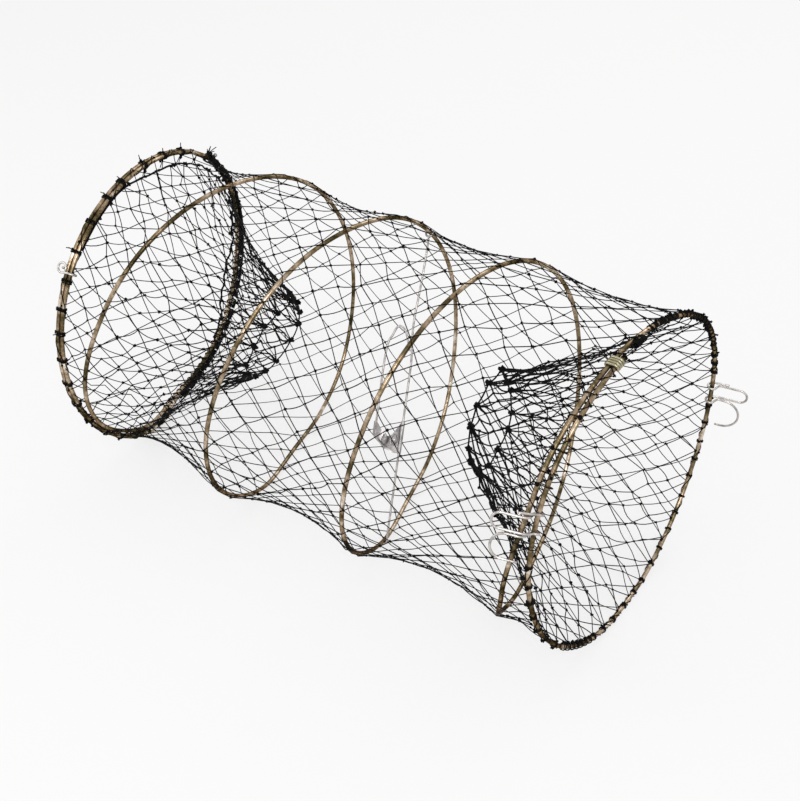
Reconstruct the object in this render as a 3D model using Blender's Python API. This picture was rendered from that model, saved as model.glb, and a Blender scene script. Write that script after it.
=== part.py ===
"""A collapsible crayfish trap: two end rings and a coil, bent from one spring wire and dressed in netting.

The trap lies on its two end rings with its axis along X. The right ring is at +X, and -Y is the near side.
A turn counts once round the axis: 0 is the top, 0.25 the near side, 0.5 the bottom and 0.75 the far side.
"""
import math

import bmesh
import bpy
from mathutils import Vector
from mathutils.geometry import intersect_point_line

# Wire frame, in metres
SPAN = 0.5141             # between the centres of the two end rings
RING_RADIUS = 0.148       # from the axis to the middle of a ring's wire
WIRE = 0.004              # diameter of the spring wire
STRAND_STEP = 0.0046      # between two strands of wire that lie side by side
LEAD_IN = 0.011           # from the left ring's plane to the coil where it comes in past the free end
FOOT_REACH = 0.037        # how far to each side of its lowest point a ring is bent flatter, where it stands
COIL_REACH = 0.062        # the same for the coils, which are wider than the rings and lie flatter
REST_CUT = WIRE / 10      # depth of the flat on which each ring stands
AXIS_Y = 0.003            # the axis lies behind the middle of the whole trap, whose near clip stands out
GAP = 0.0003              # between touching pieces

# How each ring leans and warps, measured along X at its rim
LEFT_SWING = 0.014
LEFT_WARP_ALONG = 0.0018
LEFT_WARP_ACROSS = -0.0035
RIGHT_SWING = -0.0198
RIGHT_LEAN = -0.0148
RIGHT_WARP_ALONG = 0.0024
RIGHT_WARP_ACROSS = -0.0029

# Places along the wire, in turns counted from the top of the right ring
WIRE_START = 0.0285
RING_SHIFT = (0.90, 1.03)
RIGHT_SPLIT = 1.065
COIL_DOWN = (1.065, 1.16)
COIL_STRETCH = (1.03, 4.40)
LEFT_SPLIT = 4.37
COIL_UP = (4.45, 4.60)
LAP_SHIFT = (5.45, 5.52)
WIRE_END = 6.447

# Share of the free length that lies to the left of the coil, by turn
COIL_STATIONS = (
    (1.03, 1.0), (1.16, 0.995), (1.28, 0.948), (1.40, 0.867), (1.65, 0.785), (1.90, 0.731),
    (2.15, 0.684), (2.40, 0.585), (2.65, 0.521), (2.90, 0.469), (3.15, 0.388), (3.40, 0.296),
    (3.65, 0.275), (3.90, 0.222), (4.15, 0.095), (4.28, 0.024), (4.40, 0.0),
)

# Netting and twine
TWINE = 0.001
MESHES_ROUND = 14
BODY_ROWS = 10
FUNNEL_ROWS = 3
DRAW_IN = 0.006           # how far the body net is drawn in between two coils
DRAW_SLOPE = 0.008        # distance along X in which it is drawn in
NET_LIFT = 0.0005         # between the ground and the body net
NET_SLACK = 0.0019        # by which the body net's knots stand off, so that its straight strands clear the coils
BODY_SEAT = 0.0049        # from a ring's innermost strand to the edge of the body net, along X
BODY_SEAT_WIDE = 0.015    # the same where the coil or a clip passes
FUNNEL_SEAT = 0.0035      # the same for a funnel's edge
FUNNEL_DROP = 0.0034      # from the middle of the ring's wire to a funnel's edge, toward the axis
FUNNEL_DROP_WIDE = 0.0065
RIGHT_WIDE = ((-0.12, 0.26), (0.70, 0.80))
LEFT_WIDE = ((0.28, 0.64), (0.07, 0.19), (0.83, 0.92))

# Throats: centre and size of the inner end of each funnel
THROAT_RADIUS = 0.043
THROAT_CORD = 0.0015
RIGHT_THROAT_DEPTH = 0.1293
RIGHT_THROAT_Y = 0.0037
RIGHT_THROAT_Z = 0.004
LEFT_THROAT_DEPTH = 0.144
LEFT_THROAT_Y = 0.0013
LEFT_THROAT_Z = 0.0016
LEFT_THROAT_TILT = 0.28   # slope of the left throat, its top toward the right ring

# Lashings that bind the nets to the rings, and the ties that bind the strands of wire together
LASHING_WRAPS = 16        # in one turn of a ring
LASHING_HOLD = WIRE / 2 + GAP + TWINE / 2
FOOT_SKIP = 0.0105        # by how many turns the wraps keep away from the lowest point, on each side
RIGHT_LASHINGS = (("right_ring_lashing_near", 0.235, 0.735), ("right_ring_lashing_far", 0.762, 0.99))
LEFT_LASHING = (0.62, 1.43)
TIE_PITCH = 0.00145
TIE_WRAPS = 4
RIGHT_TIE_TURN = 0.036
LEFT_TIE_TURN = 0.436
TOP_TIE_TURN = 0.878
WRAP_POINTS = 6

# Closing clips: hairpins of thin wire that swing on the right ring
CLIP_WIRE = 0.002
CLIP_GAP = 0.0007         # running gap of an eye on the ring
CLIP_TAIL = 0.014         # length of the free end
CLIP_NEAR_TURN = 0.1755
CLIP_NEAR_REACHES = (0.0325, 0.0295)   # of its two hairpins
CLIP_NEAR_LIFT = 0.0088   # how far its hairpins stand off the axis that they swing on
CLIP_NEAR_STAND = math.radians(18)   # how far it is turned out from the net
CLIP_NEAR_WIDTHS = (0.0126, 0.0205)
CLIP_FAR_TURN = 0.757
CLIP_FAR_REACHES = (0.0315, 0.0268)
CLIP_FAR_LIFT = 0.0048
CLIP_FAR_STAND = math.radians(4)
CLIP_FAR_WIDTHS = (0.0130, 0.0290)
EYE_STEP = 0.0028         # how far an eye climbs along the ring
EYE_SWEEP = math.radians(270)
EYE_POINTS = 10
LEFT_LOOP_TURN = 0.136
LEFT_LOOP_REACH = 0.003
LEFT_LOOP_RADIUS = 0.0045

# Bait holder: a wire hung across two coils, with a safety pin
BAIT_WIRE = 0.002
BAIT_TOP_TURN = 2.858
BAIT_FOOT_TURN = 2.438
TOP_SWEEP = math.radians(118)   # of the top hook to each side, where it opens outward
FOOT_START = math.radians(75)
FOOT_END = math.radians(160)
PIN_SIDE = (-1, -0.48, 0.12)   # the way in which the pin stands off the wire
PIN_START = 0.112         # from the top of the wire to where the pin leaves it
PIN_ARCH = 0.0215         # height of the pin's arch
PIN_ARCH_WIDTH = 0.0206   # from the wire to where the arch turns down
PIN_SPREAD = 0.0253       # from the wire to the pin's leg
CATCH_START = 0.183       # from the top of the wire to the catch
CATCH_LENGTH = 0.028
CATCH_SHEET = 0.0008
CATCH_LAP = 0.007         # how far the pin's point reaches into the catch
CATCH_TAPER = 0.45        # share of its width that the catch loses at its foot

TURN = 2 * math.pi
RING_SEGMENTS = 72
COIL_SEGMENTS = 28


def smooth(low, high, value):
    """Ease from 0 to 1 while value goes from low to high."""
    share = min(max((value - low) / (high - low), 0.0), 1.0)
    return share * share * (3 - 2 * share)


def left_lean(turn):
    """How far the left ring's rim lies from its centre, along X."""
    angle = TURN * turn
    warp = LEFT_WARP_ALONG * math.cos(2 * angle) + LEFT_WARP_ACROSS * math.sin(2 * angle)
    return LEFT_SWING * math.sin(angle) + warp


def right_lean(turn):
    """How far the right ring's rim lies from its centre, along X."""
    angle = TURN * turn
    warp = RIGHT_WARP_ALONG * math.cos(2 * angle) + RIGHT_WARP_ACROSS * math.sin(2 * angle)
    return RIGHT_SWING * math.sin(angle) + RIGHT_LEAN * math.cos(angle) + warp


# The origin is under the middle of the whole trap, so the rings' places follow from its two ends
WRAP_CORNER = 1 / math.cos(math.pi / WRAP_POINTS)
LASHING_REACH = LASHING_HOLD * WRAP_CORNER + TWINE / 2
LEFT_EXTREME = min(left_lean(step / 96) for step in range(96)) - LASHING_REACH
RIGHT_EXTREME = SPAN + right_lean(CLIP_FAR_TURN) + CLIP_FAR_REACHES[0] + CLIP_WIRE / 2
LEFT_X = -(LEFT_EXTREME + RIGHT_EXTREME) / 2
RIGHT_X = LEFT_X + SPAN


def foot_bend(turn, reach):
    """How far the wire is bent in toward the axis where it crosses the ground, so that it lies flat there."""
    along = TURN * RING_RADIUS * abs(turn % 1.0 - 0.5)
    share = min(along / reach, 1.0)
    return reach ** 2 / (4 * RING_RADIUS) * (1 - share * share) ** 2


AXIS_Z = RING_RADIUS - foot_bend(0.5, FOOT_REACH) + WIRE / 2 - REST_CUT
COIL_SINK = foot_bend(0.5, COIL_REACH)
COIL_RADIUS = AXIS_Z - WIRE / 2 - GAP - TWINE - NET_LIFT + COIL_SINK


def left_plane(turn):
    return LEFT_X + left_lean(turn)


def right_plane(turn):
    return RIGHT_X + right_lean(turn)


def radial(turn):
    """The direction straight out from the axis."""
    angle = TURN * turn
    return Vector((0, -math.sin(angle), math.cos(angle)))


def place(x, turn, radius):
    """A point at this X, this many turns round the axis and this far from it."""
    return Vector((x, AXIS_Y, AXIS_Z)) + radius * radial(turn)


def coil_share(turn):
    """Smooth, steady interpolation between the coil's stations."""
    turns = [station[0] for station in COIL_STATIONS]
    shares = [station[1] for station in COIL_STATIONS]
    last = len(turns) - 1
    steps = [(shares[i + 1] - shares[i]) / (turns[i + 1] - turns[i]) for i in range(last)]
    slopes = [0.0]
    for before, after in zip(steps, steps[1:]):
        slopes.append(2 * before * after / (before + after))
    slopes.append(0.0)
    index = 0
    while index < last - 1 and turn > turns[index + 1]:
        index += 1
    width = turns[index + 1] - turns[index]
    t = min(max((turn - turns[index]) / width, 0.0), 1.0)
    low_part = (1 + 2 * t) * (1 - t) ** 2 * shares[index] + t * (1 - t) ** 2 * width * slopes[index]
    high_part = t * t * (3 - 2 * t) * shares[index + 1] + t * t * (t - 1) * width * slopes[index + 1]
    return low_part + high_part


def wire_x(turn):
    """X of the one long wire at this turn."""
    if turn <= COIL_STRETCH[0]:
        return right_plane(turn) - STRAND_STEP * smooth(*RING_SHIFT, turn)
    if turn <= COIL_STRETCH[1]:
        right_side = right_plane(turn) - STRAND_STEP
        left_side = left_plane(turn) + LEAD_IN
        share = coil_share(turn)
        return left_side + share * (right_side - left_side)
    offset = LEAD_IN + (STRAND_STEP - LEAD_IN) * smooth(*COIL_UP, turn)
    offset -= STRAND_STEP * smooth(*LAP_SHIFT, turn)
    return left_plane(turn) + offset


def ring_radius(turn):
    """Distance of a ring's wire from the axis, less where it is bent flatter along the ground."""
    return RING_RADIUS - foot_bend(turn, FOOT_REACH)


def coil_radius(turn):
    """Distance of a coil's wire from the axis."""
    return COIL_RADIUS - foot_bend(turn, COIL_REACH)


def net_radius(turn):
    """Distance of the body net's knots from the axis, least where the coils lie flat along the ground."""
    slack = NET_SLACK * (1 - foot_bend(turn, COIL_REACH) / COIL_SINK)
    return coil_radius(turn) + WIRE / 2 + GAP + TWINE / 2 + slack


def wire_radius(turn):
    """Distance of the one long wire from the axis at this turn."""
    share = smooth(*COIL_DOWN, turn) - smooth(*COIL_UP, turn)
    return ring_radius(turn) + (coil_radius(turn) - ring_radius(turn)) * share


def wire_point(turn):
    return place(wire_x(turn), turn, wire_radius(turn))


def paint(thing, name, colour, roughness, metallic):
    """Give an object its own material."""
    material = bpy.data.materials.new(name)
    material.use_nodes = True
    shader = material.node_tree.nodes["Principled BSDF"]
    shader.inputs["Base Color"].default_value = (*colour, 1)
    shader.inputs["Roughness"].default_value = roughness
    shader.inputs["Metallic"].default_value = metallic
    thing.data.materials.append(material)


def zinc(thing):
    """Yellow zinc on spring wire."""
    paint(thing, thing.name + "_zinc", (0.43, 0.35, 0.24), 0.38, 0.85)


def twine(thing):
    """Black net twine."""
    paint(thing, thing.name + "_twine", (0.012, 0.011, 0.012), 0.8, 0.0)


def bright(thing):
    """Pale galvanised wire and sheet."""
    paint(thing, thing.name + "_bright", (0.62, 0.59, 0.57), 0.35, 0.9)


def mesh_object(name, shape):
    """Turn a bmesh into an object in the scene."""
    mesh = bpy.data.meshes.new(name)
    shape.to_mesh(mesh)
    shape.free()
    thing = bpy.data.objects.new(name, mesh)
    bpy.context.scene.collection.objects.link(thing)
    return thing


def report_gap(name, points, diameter, neighbours):
    """Print the least gap that a wound piece leaves to itself."""
    least = SPAN
    for index, point in enumerate(points):
        for other in range(index + neighbours, len(points) - 1):
            foot, share = intersect_point_line(point, points[other], points[other + 1])
            if 0 <= share <= 1:
                least = min(least, (point - foot).length)
    print(f"{name}: least gap to itself {1000 * (least - diameter):.2f} mm")


def coil_range():
    """Where the free coil starts and ends, and how many straight pieces it has."""
    split = GAP / (TURN * RING_RADIUS)
    start = RIGHT_SPLIT + split
    end = LEFT_SPLIT - split
    return start, end, math.ceil((end - start) * COIL_SEGMENTS)


def wound_wire(name, start, end, count, sides):
    """A stretch of the long wire, as a swept tube with closed ends."""
    turns = [start + (end - start) * i / count for i in range(count + 1)]
    points = [wire_point(turn) for turn in turns]
    shape = bmesh.new()
    loops = []
    for index, turn in enumerate(turns):
        along = (wire_point(turn + 0.002) - wire_point(turn - 0.002)).normalized()
        across = along.cross(radial(turn)).normalized()
        outward = across.cross(along)
        loop = []
        for side in range(sides):
            angle = TURN * (side + 0.5) / sides
            offset = math.cos(angle) * outward + math.sin(angle) * across
            loop.append(shape.verts.new(points[index] + WIRE / 2 * offset))
        loops.append(loop)
    for first, second in zip(loops, loops[1:]):
        for side in range(sides):
            after = (side + 1) % sides
            shape.faces.new((first[side], first[after], second[after], second[side]))
    shape.faces.new(loops[0][::-1])
    shape.faces.new(loops[-1])
    bmesh.ops.recalc_face_normals(shape, faces=shape.faces)
    report_gap(name, points, WIRE, round(0.7 * count / (end - start)))
    return shape


def flatten_foot(shape):
    """Cut the wire flat along the ground, where the ring stands."""
    geometry = shape.verts[:] + shape.edges[:] + shape.faces[:]
    bmesh.ops.bisect_plane(shape, geom=geometry, dist=1e-7, plane_co=(0, 0, 0), plane_no=(0, 0, 1), clear_inner=True)
    rim = [edge for edge in shape.edges if edge.is_boundary]
    bmesh.ops.edgeloop_fill(shape, edges=rim)
    bmesh.ops.recalc_face_normals(shape, faces=shape.faces)


def smooth_wire(thing):
    thing.data.shade_smooth()
    thing.data.set_sharp_from_angle(angle=math.radians(50))
    zinc(thing)


def wire_frame():
    """The one long wire, as the two end rings and the coil between them."""
    right_count = math.ceil((RIGHT_SPLIT - WIRE_START) * RING_SEGMENTS)
    left_count = math.ceil((WIRE_END - LEFT_SPLIT) * RING_SEGMENTS)
    right_ring = wound_wire("right_end_ring", WIRE_START, RIGHT_SPLIT, right_count, 8)
    flatten_foot(right_ring)
    smooth_wire(mesh_object("right_end_ring", right_ring))
    coil = wound_wire("spring_coil", *coil_range(), 6)
    smooth_wire(mesh_object("spring_coil", coil))
    left_ring = wound_wire("left_end_ring", LEFT_SPLIT, WIRE_END, left_count, 8)
    flatten_foot(left_ring)
    smooth_wire(mesh_object("left_end_ring", left_ring))


def tube(name, points, diameter, sides_level=1, closed=False):
    """A round tube along a list of points."""
    curve = bpy.data.curves.new(name, "CURVE")
    curve.dimensions = "3D"
    curve.bevel_depth = diameter / 2
    curve.bevel_resolution = sides_level
    curve.use_fill_caps = not closed
    spline = curve.splines.new("POLY")
    spline.points.add(len(points) - 1)
    for target, point in zip(spline.points, points):
        target.co = (*point, 1)
    spline.use_cyclic_u = closed
    thing = bpy.data.objects.new(name, curve)
    bpy.context.scene.collection.objects.link(thing)
    return thing


def in_stretch(turn, stretches):
    """Whether a turn lies in one of these stretches of a ring."""
    return any(low <= turn + lap <= high for low, high in stretches for lap in (-1, 0, 1))


def body_seat(turn, wide):
    return BODY_SEAT_WIDE if in_stretch(turn, wide) else BODY_SEAT


def mesh_turn(step):
    """The turn at which a half mesh stands, with none of them right under the axis."""
    return (0.5 + (step + 0.5) / (2 * MESHES_ROUND)) % 1.0


def coil_distance(x, turn):
    """Distance along X from a point of the net to the nearest coil at the same turn."""
    passes = [turn + lap for lap in range(1, 5)]
    inside = [lap for lap in passes if COIL_STRETCH[0] <= lap <= COIL_STRETCH[1]]
    places = [wire_x(lap) for lap in inside] + [left_plane(turn), right_plane(turn)]
    return min(abs(x - spot) for spot in places)


def body_point(row, step):
    """A knot of the body net, drawn in where no coil holds it out."""
    turn = mesh_turn(step)
    left_edge = left_plane(turn) + STRAND_STEP + body_seat(turn, LEFT_WIDE)
    right_edge = right_plane(turn) - body_seat(turn, RIGHT_WIDE)
    row_length = (right_edge - left_edge) / BODY_ROWS
    x = left_edge + row * row_length
    draw = DRAW_IN * min(max((coil_distance(x, turn) - row_length) / DRAW_SLOPE, 0.0), 1.0)
    return place(x, turn, net_radius(turn) - draw)


def funnel_point(row, step, rim, inboard, wide, throat):
    """A knot of a funnel net, on the straight line from the rim to the throat."""
    turn = mesh_turn(step)
    drop = FUNNEL_DROP_WIDE if in_stretch(turn, wide) else FUNNEL_DROP
    edge = place(rim(turn) + inboard * FUNNEL_SEAT, turn, ring_radius(turn) - drop)
    inner = throat(turn, THROAT_RADIUS, 0.0)
    return edge.lerp(inner, row / FUNNEL_ROWS)


def right_throat(turn, radius, beyond):
    """A point of the right throat, or beyond it toward the middle of the trap."""
    centre = place(RIGHT_X - RIGHT_THROAT_DEPTH - beyond, 0, RIGHT_THROAT_Z) + Vector((0, RIGHT_THROAT_Y, 0))
    return centre + radius * radial(turn)


def left_throat(turn, radius, beyond):
    """A point of the left throat, or beyond it toward the middle of the trap."""
    centre = place(LEFT_X + LEFT_THROAT_DEPTH + beyond, 0, LEFT_THROAT_Z) + Vector((0, LEFT_THROAT_Y, 0))
    point = centre + radius * radial(turn)
    point.x += LEFT_THROAT_TILT * (point.z - centre.z)
    return point


def knot_net(name, point_at, rows, open_end):
    """A net of diamond meshes, with a full edge at its first row and, when open_end is false, at its last."""
    shape = bmesh.new()
    steps = 2 * MESHES_ROUND
    knots = {}
    for row in range(rows + 1):
        full = row == 0 or (row == rows and not open_end)
        for step in range(steps):
            if full or step % 2 == row % 2:
                knots[row, step] = shape.verts.new(point_at(row, step))

    def face(*corners):
        shape.faces.new([knots[row, step % steps] for row, step in corners])

    for step in range(1, steps, 2):
        face((0, step - 1), (0, step), (0, step + 1), (1, step))
    for row in range(1, rows):
        for step in range((row - 1) % 2, steps, 2):
            face((row - 1, step), (row, step + 1), (row + 1, step), (row, step - 1))
    for step in range((rows - 1) % 2, steps, 2):
        if open_end:
            face((rows - 1, step), (rows, step + 1), (rows, step - 1))
        else:
            face((rows - 1, step), (rows, step + 1), (rows, step), (rows, step - 1))
    bmesh.ops.recalc_face_normals(shape, faces=shape.faces)
    thing = mesh_object(name, shape)
    strands = thing.modifiers.new("strands", "WIREFRAME")
    strands.thickness = TWINE
    strands.use_even_offset = True
    strands.use_boundary = True
    strands.use_replace = True
    twine(thing)
    return thing


def nets():
    """The body net round the coils and a funnel net in each end."""
    knot_net("body_net", body_point, BODY_ROWS, False)

    def left_funnel(row, step):
        return funnel_point(row, step, lambda turn: left_plane(turn) + STRAND_STEP, 1, LEFT_WIDE, left_throat)

    def right_funnel(row, step):
        return funnel_point(row, step, right_plane, -1, RIGHT_WIDE, right_throat)

    knot_net("left_funnel_net", left_funnel, FUNNEL_ROWS, True)
    knot_net("right_funnel_net", right_funnel, FUNNEL_ROWS, True)
    beyond = TWINE / 2 + GAP + THROAT_CORD / 2
    for name, throat in (("left_throat_cord", left_throat), ("right_throat_cord", right_throat)):
        circle = [throat(mesh_turn(step), THROAT_RADIUS, beyond) for step in range(2 * MESHES_ROUND)]
        twine(tube(name, circle, THROAT_CORD, 0, closed=True))


def wrap(name, finish, plane, inboard, width, hold, wraps, first, last, skip=0.0):
    """Twine or thin wire wound round a ring's wire, or round two strands that lie a width apart.

    Its flat sides face straight out and straight in, and at the bottom of the ring it passes inside the wire.
    """
    points = []
    corner = hold * WRAP_CORNER
    step = math.ceil((first - 0.5) * wraps * WRAP_POINTS)
    while True:
        polar = TURN * (step + 0.5) / WRAP_POINTS
        turn = 0.5 + (step + 0.5) / WRAP_POINTS / wraps
        turn += math.copysign(skip, turn - 0.5)
        if turn > last:
            break
        across = corner * math.sin(polar) + (width if math.sin(polar) > 0 else 0.0)
        x = plane(turn) + inboard * across
        points.append(place(x, turn, ring_radius(turn) - corner * math.cos(polar)))
        step += 1
    report_gap(name, points, TWINE, WRAP_POINTS)
    finish(tube(name, points, TWINE, 0))


def tie(name, finish, plane, inboard, width, hold, turn):
    """A few close wraps that bind two strands of wire."""
    wraps = TURN * RING_RADIUS / TIE_PITCH
    half = TIE_WRAPS / wraps / 2
    wrap(name, finish, plane, inboard, width, hold, wraps, turn - half, turn + half)


def lashings():
    """The long spiral lashings, the tie of twine over the left one, and the wire ties at the two ends."""
    for name, first, last in RIGHT_LASHINGS:
        wrap(name, twine, wire_x, -1, 0.0, LASHING_HOLD, LASHING_WRAPS, first, last, FOOT_SKIP)
    left_stretch = (*LEFT_LASHING, FOOT_SKIP)
    wrap("left_ring_lashing", twine, left_plane, 1, STRAND_STEP, LASHING_HOLD, LASHING_WRAPS, *left_stretch)
    over_lashing = LASHING_REACH + GAP + TWINE / 2
    tie("right_end_tie", zinc, right_plane, -1, STRAND_STEP, LASHING_HOLD, RIGHT_TIE_TURN)
    tie("left_end_tie", zinc, left_plane, 1, STRAND_STEP, LASHING_HOLD, LEFT_TIE_TURN)
    tie("left_top_tie", twine, left_plane, 1, STRAND_STEP, over_lashing, TOP_TIE_TURN)


def arc(centre, first, second, radius, start, end, count):
    """Points of an arc in the plane of two unit directions."""
    points = []
    for index in range(count + 1):
        angle = start + (end - start) * index / count
        points.append(centre + radius * (math.cos(angle) * first + math.sin(angle) * second))
    return points


def clip_frame(eye_turn, along_sign, reach_sign, step, stand):
    """Centres of a clip's two eyes, and the directions along its axis, off its hairpins and toward their tips."""
    second_turn = eye_turn + along_sign * step / (TURN * RING_RADIUS)
    first_eye = place(right_plane(eye_turn), eye_turn, RING_RADIUS)
    second_eye = place(right_plane(second_turn), second_turn, RING_RADIUS)
    along = (second_eye - first_eye).normalized()
    out = radial((eye_turn + second_turn) / 2)
    out = (out - out.dot(along) * along).normalized()
    toward = along.cross(out)
    if toward.x * reach_sign < 0:
        toward = -toward
    turned_out = math.cos(stand) * out - math.sin(stand) * toward
    turned_toward = math.cos(stand) * toward + math.sin(stand) * out
    return first_eye, second_eye, along, turned_out, turned_toward


def closing_clip(name, eye_turn, along_sign, reach_sign, reaches, lift, stand, widths):
    """One thin wire: a free end, an eye on the ring, a hairpin, a second eye and a wider hairpin.

    The two eyes share one straight axis, on which the clip swings.
    """
    step = widths[0] + EYE_STEP
    first_eye, second_eye, along, out, toward = clip_frame(eye_turn, along_sign, reach_sign, step, stand)
    eye_radius = WIRE / 2 + CLIP_GAP + CLIP_WIRE / 2
    second_start = (second_eye - first_eye).length

    def spot(along_by, out_by, toward_by):
        return first_eye + along_by * along + out_by * out + toward_by * toward

    def eye(middle):
        """Over the ring, down its far side and up again, climbing one step along the axis."""
        points = []
        for index in range(EYE_POINTS):
            share = index / (EYE_POINTS - 1)
            angle = -EYE_SWEEP * share
            climb = middle + (share - 0.5) * EYE_STEP
            points.append(spot(climb, eye_radius * math.cos(angle), eye_radius * math.sin(angle)))
        return points

    def hairpin(root, width, reach, foot):
        """Out from the root, round the tip and back to the foot, one width further along."""
        half = width / 2
        tip_centre = spot(root + half, lift, reach - half)
        tip = arc(tip_centre, -along, toward, half, 0.0, math.pi, 6)
        rise = spot(root, (eye_radius + lift) / 2, 1.6 * eye_radius)
        return [rise, spot(root, lift, 2.8 * eye_radius)] + tip + [spot(root + width, lift, foot)]

    half_step = EYE_STEP / 2
    points = [spot(-half_step, lift, CLIP_TAIL)]
    points += eye(0.0)
    points += hairpin(half_step, second_start - EYE_STEP, reaches[0], 2 * eye_radius)
    points += eye(second_start)
    points += hairpin(second_start + half_step, widths[1], reaches[1], 2 * eye_radius)
    bright(tube(name, points, CLIP_WIRE, 1))
    print(name, "turns on", [round(value, 5) for value in (*first_eye, *along)])


def left_loop():
    """A small wire loop round both strands of the left ring, outside the lashing."""
    hold = LASHING_REACH + GAP + CLIP_WIRE / 2
    centre = place(left_plane(LEFT_LOOP_TURN), LEFT_LOOP_TURN, RING_RADIUS)
    ahead = place(left_plane(LEFT_LOOP_TURN + 0.01), LEFT_LOOP_TURN + 0.01, RING_RADIUS)
    along = (ahead - centre).normalized()
    out = radial(LEFT_LOOP_TURN)
    inboard = Vector((1, 0, 0))
    slope = 1.5 * CLIP_WIRE * along
    half_turn = math.pi
    points = arc(centre - slope / 2, out, -inboard, hold, math.radians(20), half_turn, 5)
    points += arc(centre + STRAND_STEP * inboard + slope / 2, -out, inboard, hold, 0.0, half_turn, 6)
    end = centre + slope + hold * out - LEFT_LOOP_REACH * inboard
    points += arc(end - LEFT_LOOP_RADIUS * along, along, -inboard, LEFT_LOOP_RADIUS, 0.0, 1.6 * half_turn, 8)
    bright(tube("closing_loop_left", points, CLIP_WIRE, 1))


def coil_chord(turn):
    """The middle and the direction of the straight piece of coil nearest to this turn."""
    start, end, count = coil_range()
    index = round((turn - start) / (end - start) * count - 0.5)
    before = wire_point(start + (end - start) * index / count)
    after = wire_point(start + (end - start) * (index + 1) / count)
    return (before + after) / 2, (after - before).normalized()


def hook(turn, inward, start, end, count):
    """Points of a hook round the coil, with 0 at its crown, on the side that faces inward."""
    centre, along = coil_chord(turn)
    crown = (inward - inward.dot(along) * along).normalized()
    reach = WIRE / 2 + GAP + BAIT_WIRE / 2
    return arc(centre, crown, along.cross(crown), reach, start, end, count)


def bait_frame():
    """Top of the bait wire, points of its foot hook, and the directions down it, to the pin's side and front."""
    top, _ = coil_chord(BAIT_TOP_TURN)
    foot, _ = coil_chord(BAIT_FOOT_TURN)
    foot_hook = hook(BAIT_FOOT_TURN, top - foot, FOOT_START, FOOT_END, 9)
    down = (foot_hook[0] - top).normalized()
    side = Vector(PIN_SIDE)
    side = (side - side.dot(down) * down).normalized()
    return top, foot_hook, down, side, side.cross(down)


def flowing(points, count):
    """A smooth curve through a list of points, with this many steps between two of them."""
    ends = [2 * points[0] - points[1]] + points + [2 * points[-1] - points[-2]]
    curve = [points[0]]
    for a, b, c, d in zip(ends, ends[1:], ends[2:], ends[3:]):
        for index in range(1, count + 1):
            t = index / count
            bend = (2 * a - 5 * b + 4 * c - d) * t * t + (3 * b - 3 * c + d - a) * t ** 3
            curve.append(b + ((c - a) * t + bend) / 2)
    return curve


def bait_wire():
    """A top hook on one coil, and a straight wire that ends in a hook round the next."""
    top, foot_hook, down, side, front = bait_frame()
    bright(tube("bait_top_hook", hook(BAIT_TOP_TURN, down, -TOP_SWEEP, TOP_SWEEP, 10), BAIT_WIRE, 1))
    start = top + (WIRE / 2 + 2 * GAP + 1.5 * BAIT_WIRE) * down
    line = [start.lerp(foot_hook[0], index / 10) for index in range(10)]
    bright(tube("bait_wire", line + foot_hook, BAIT_WIRE, 1))
    print("bait wire tilts on", [round(value, 5) for value in top], "down", [round(value, 5) for value in down])


def bait_pin():
    """The spring arm of the safety pin: a stub from the wire, an arch and a leg down into the catch."""
    top, foot_hook, down, side, front = bait_frame()
    junction = top + PIN_START * down
    stub = BAIT_WIRE / 2 + GAP

    def spot(side_by, up_by):
        return junction + side_by * side - up_by * down

    route = [
        spot(stub, 0.0),
        spot(stub + BAIT_WIRE, 0.0),
        spot(0.45 * PIN_ARCH_WIDTH, 0.8 * PIN_ARCH),
        spot(0.78 * PIN_ARCH_WIDTH, PIN_ARCH),
        spot(PIN_ARCH_WIDTH, 0.62 * PIN_ARCH),
        spot(PIN_SPREAD, -0.25 * PIN_ARCH),
        spot(PIN_SPREAD, -(CATCH_START - PIN_START + CATCH_LAP)),
    ]
    curve = [route[0]] + flowing(route[1:], 4)
    bright(tube("bait_pin", curve, BAIT_WIRE, 1))
    print("bait_pin turns on", [round(value, 5) for value in (*junction, *side)])


def bait_catch():
    """A folded sheet catch: a curl round the wire, a back plate and a wall beside the pin's point."""
    top, foot_hook, down, side, front = bait_frame()
    head = top + CATCH_START * down
    curl = BAIT_WIRE / 2 + GAP + CATCH_SHEET / 2
    width = PIN_SPREAD + curl
    rows = 8
    shape = bmesh.new()
    grid = []
    for row in range(rows + 1):
        share = row / rows
        lap = (CATCH_LAP + 2 * BAIT_WIRE) / CATCH_LENGTH
        narrow = width * (1 - CATCH_TAPER * smooth(lap, 1.0, share) ** 1.5)
        level = head + share * CATCH_LENGTH * down
        profile = arc(level, side, front, curl, math.radians(60), math.radians(270), 7)
        profile.append(level + (narrow - curl) * side - curl * front)
        profile.append(level + narrow * side - 0.7 * curl * front)
        profile.append(level + narrow * side + curl * front)
        grid.append([shape.verts.new(point) for point in profile])
    for upper, lower in zip(grid, grid[1:]):
        for index in range(len(upper) - 1):
            shape.faces.new((upper[index], upper[index + 1], lower[index + 1], lower[index]))
    thing = mesh_object("bait_catch", shape)
    sheet = thing.modifiers.new("sheet", "SOLIDIFY")
    sheet.thickness = CATCH_SHEET
    sheet.offset = 0
    bright(thing)


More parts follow.
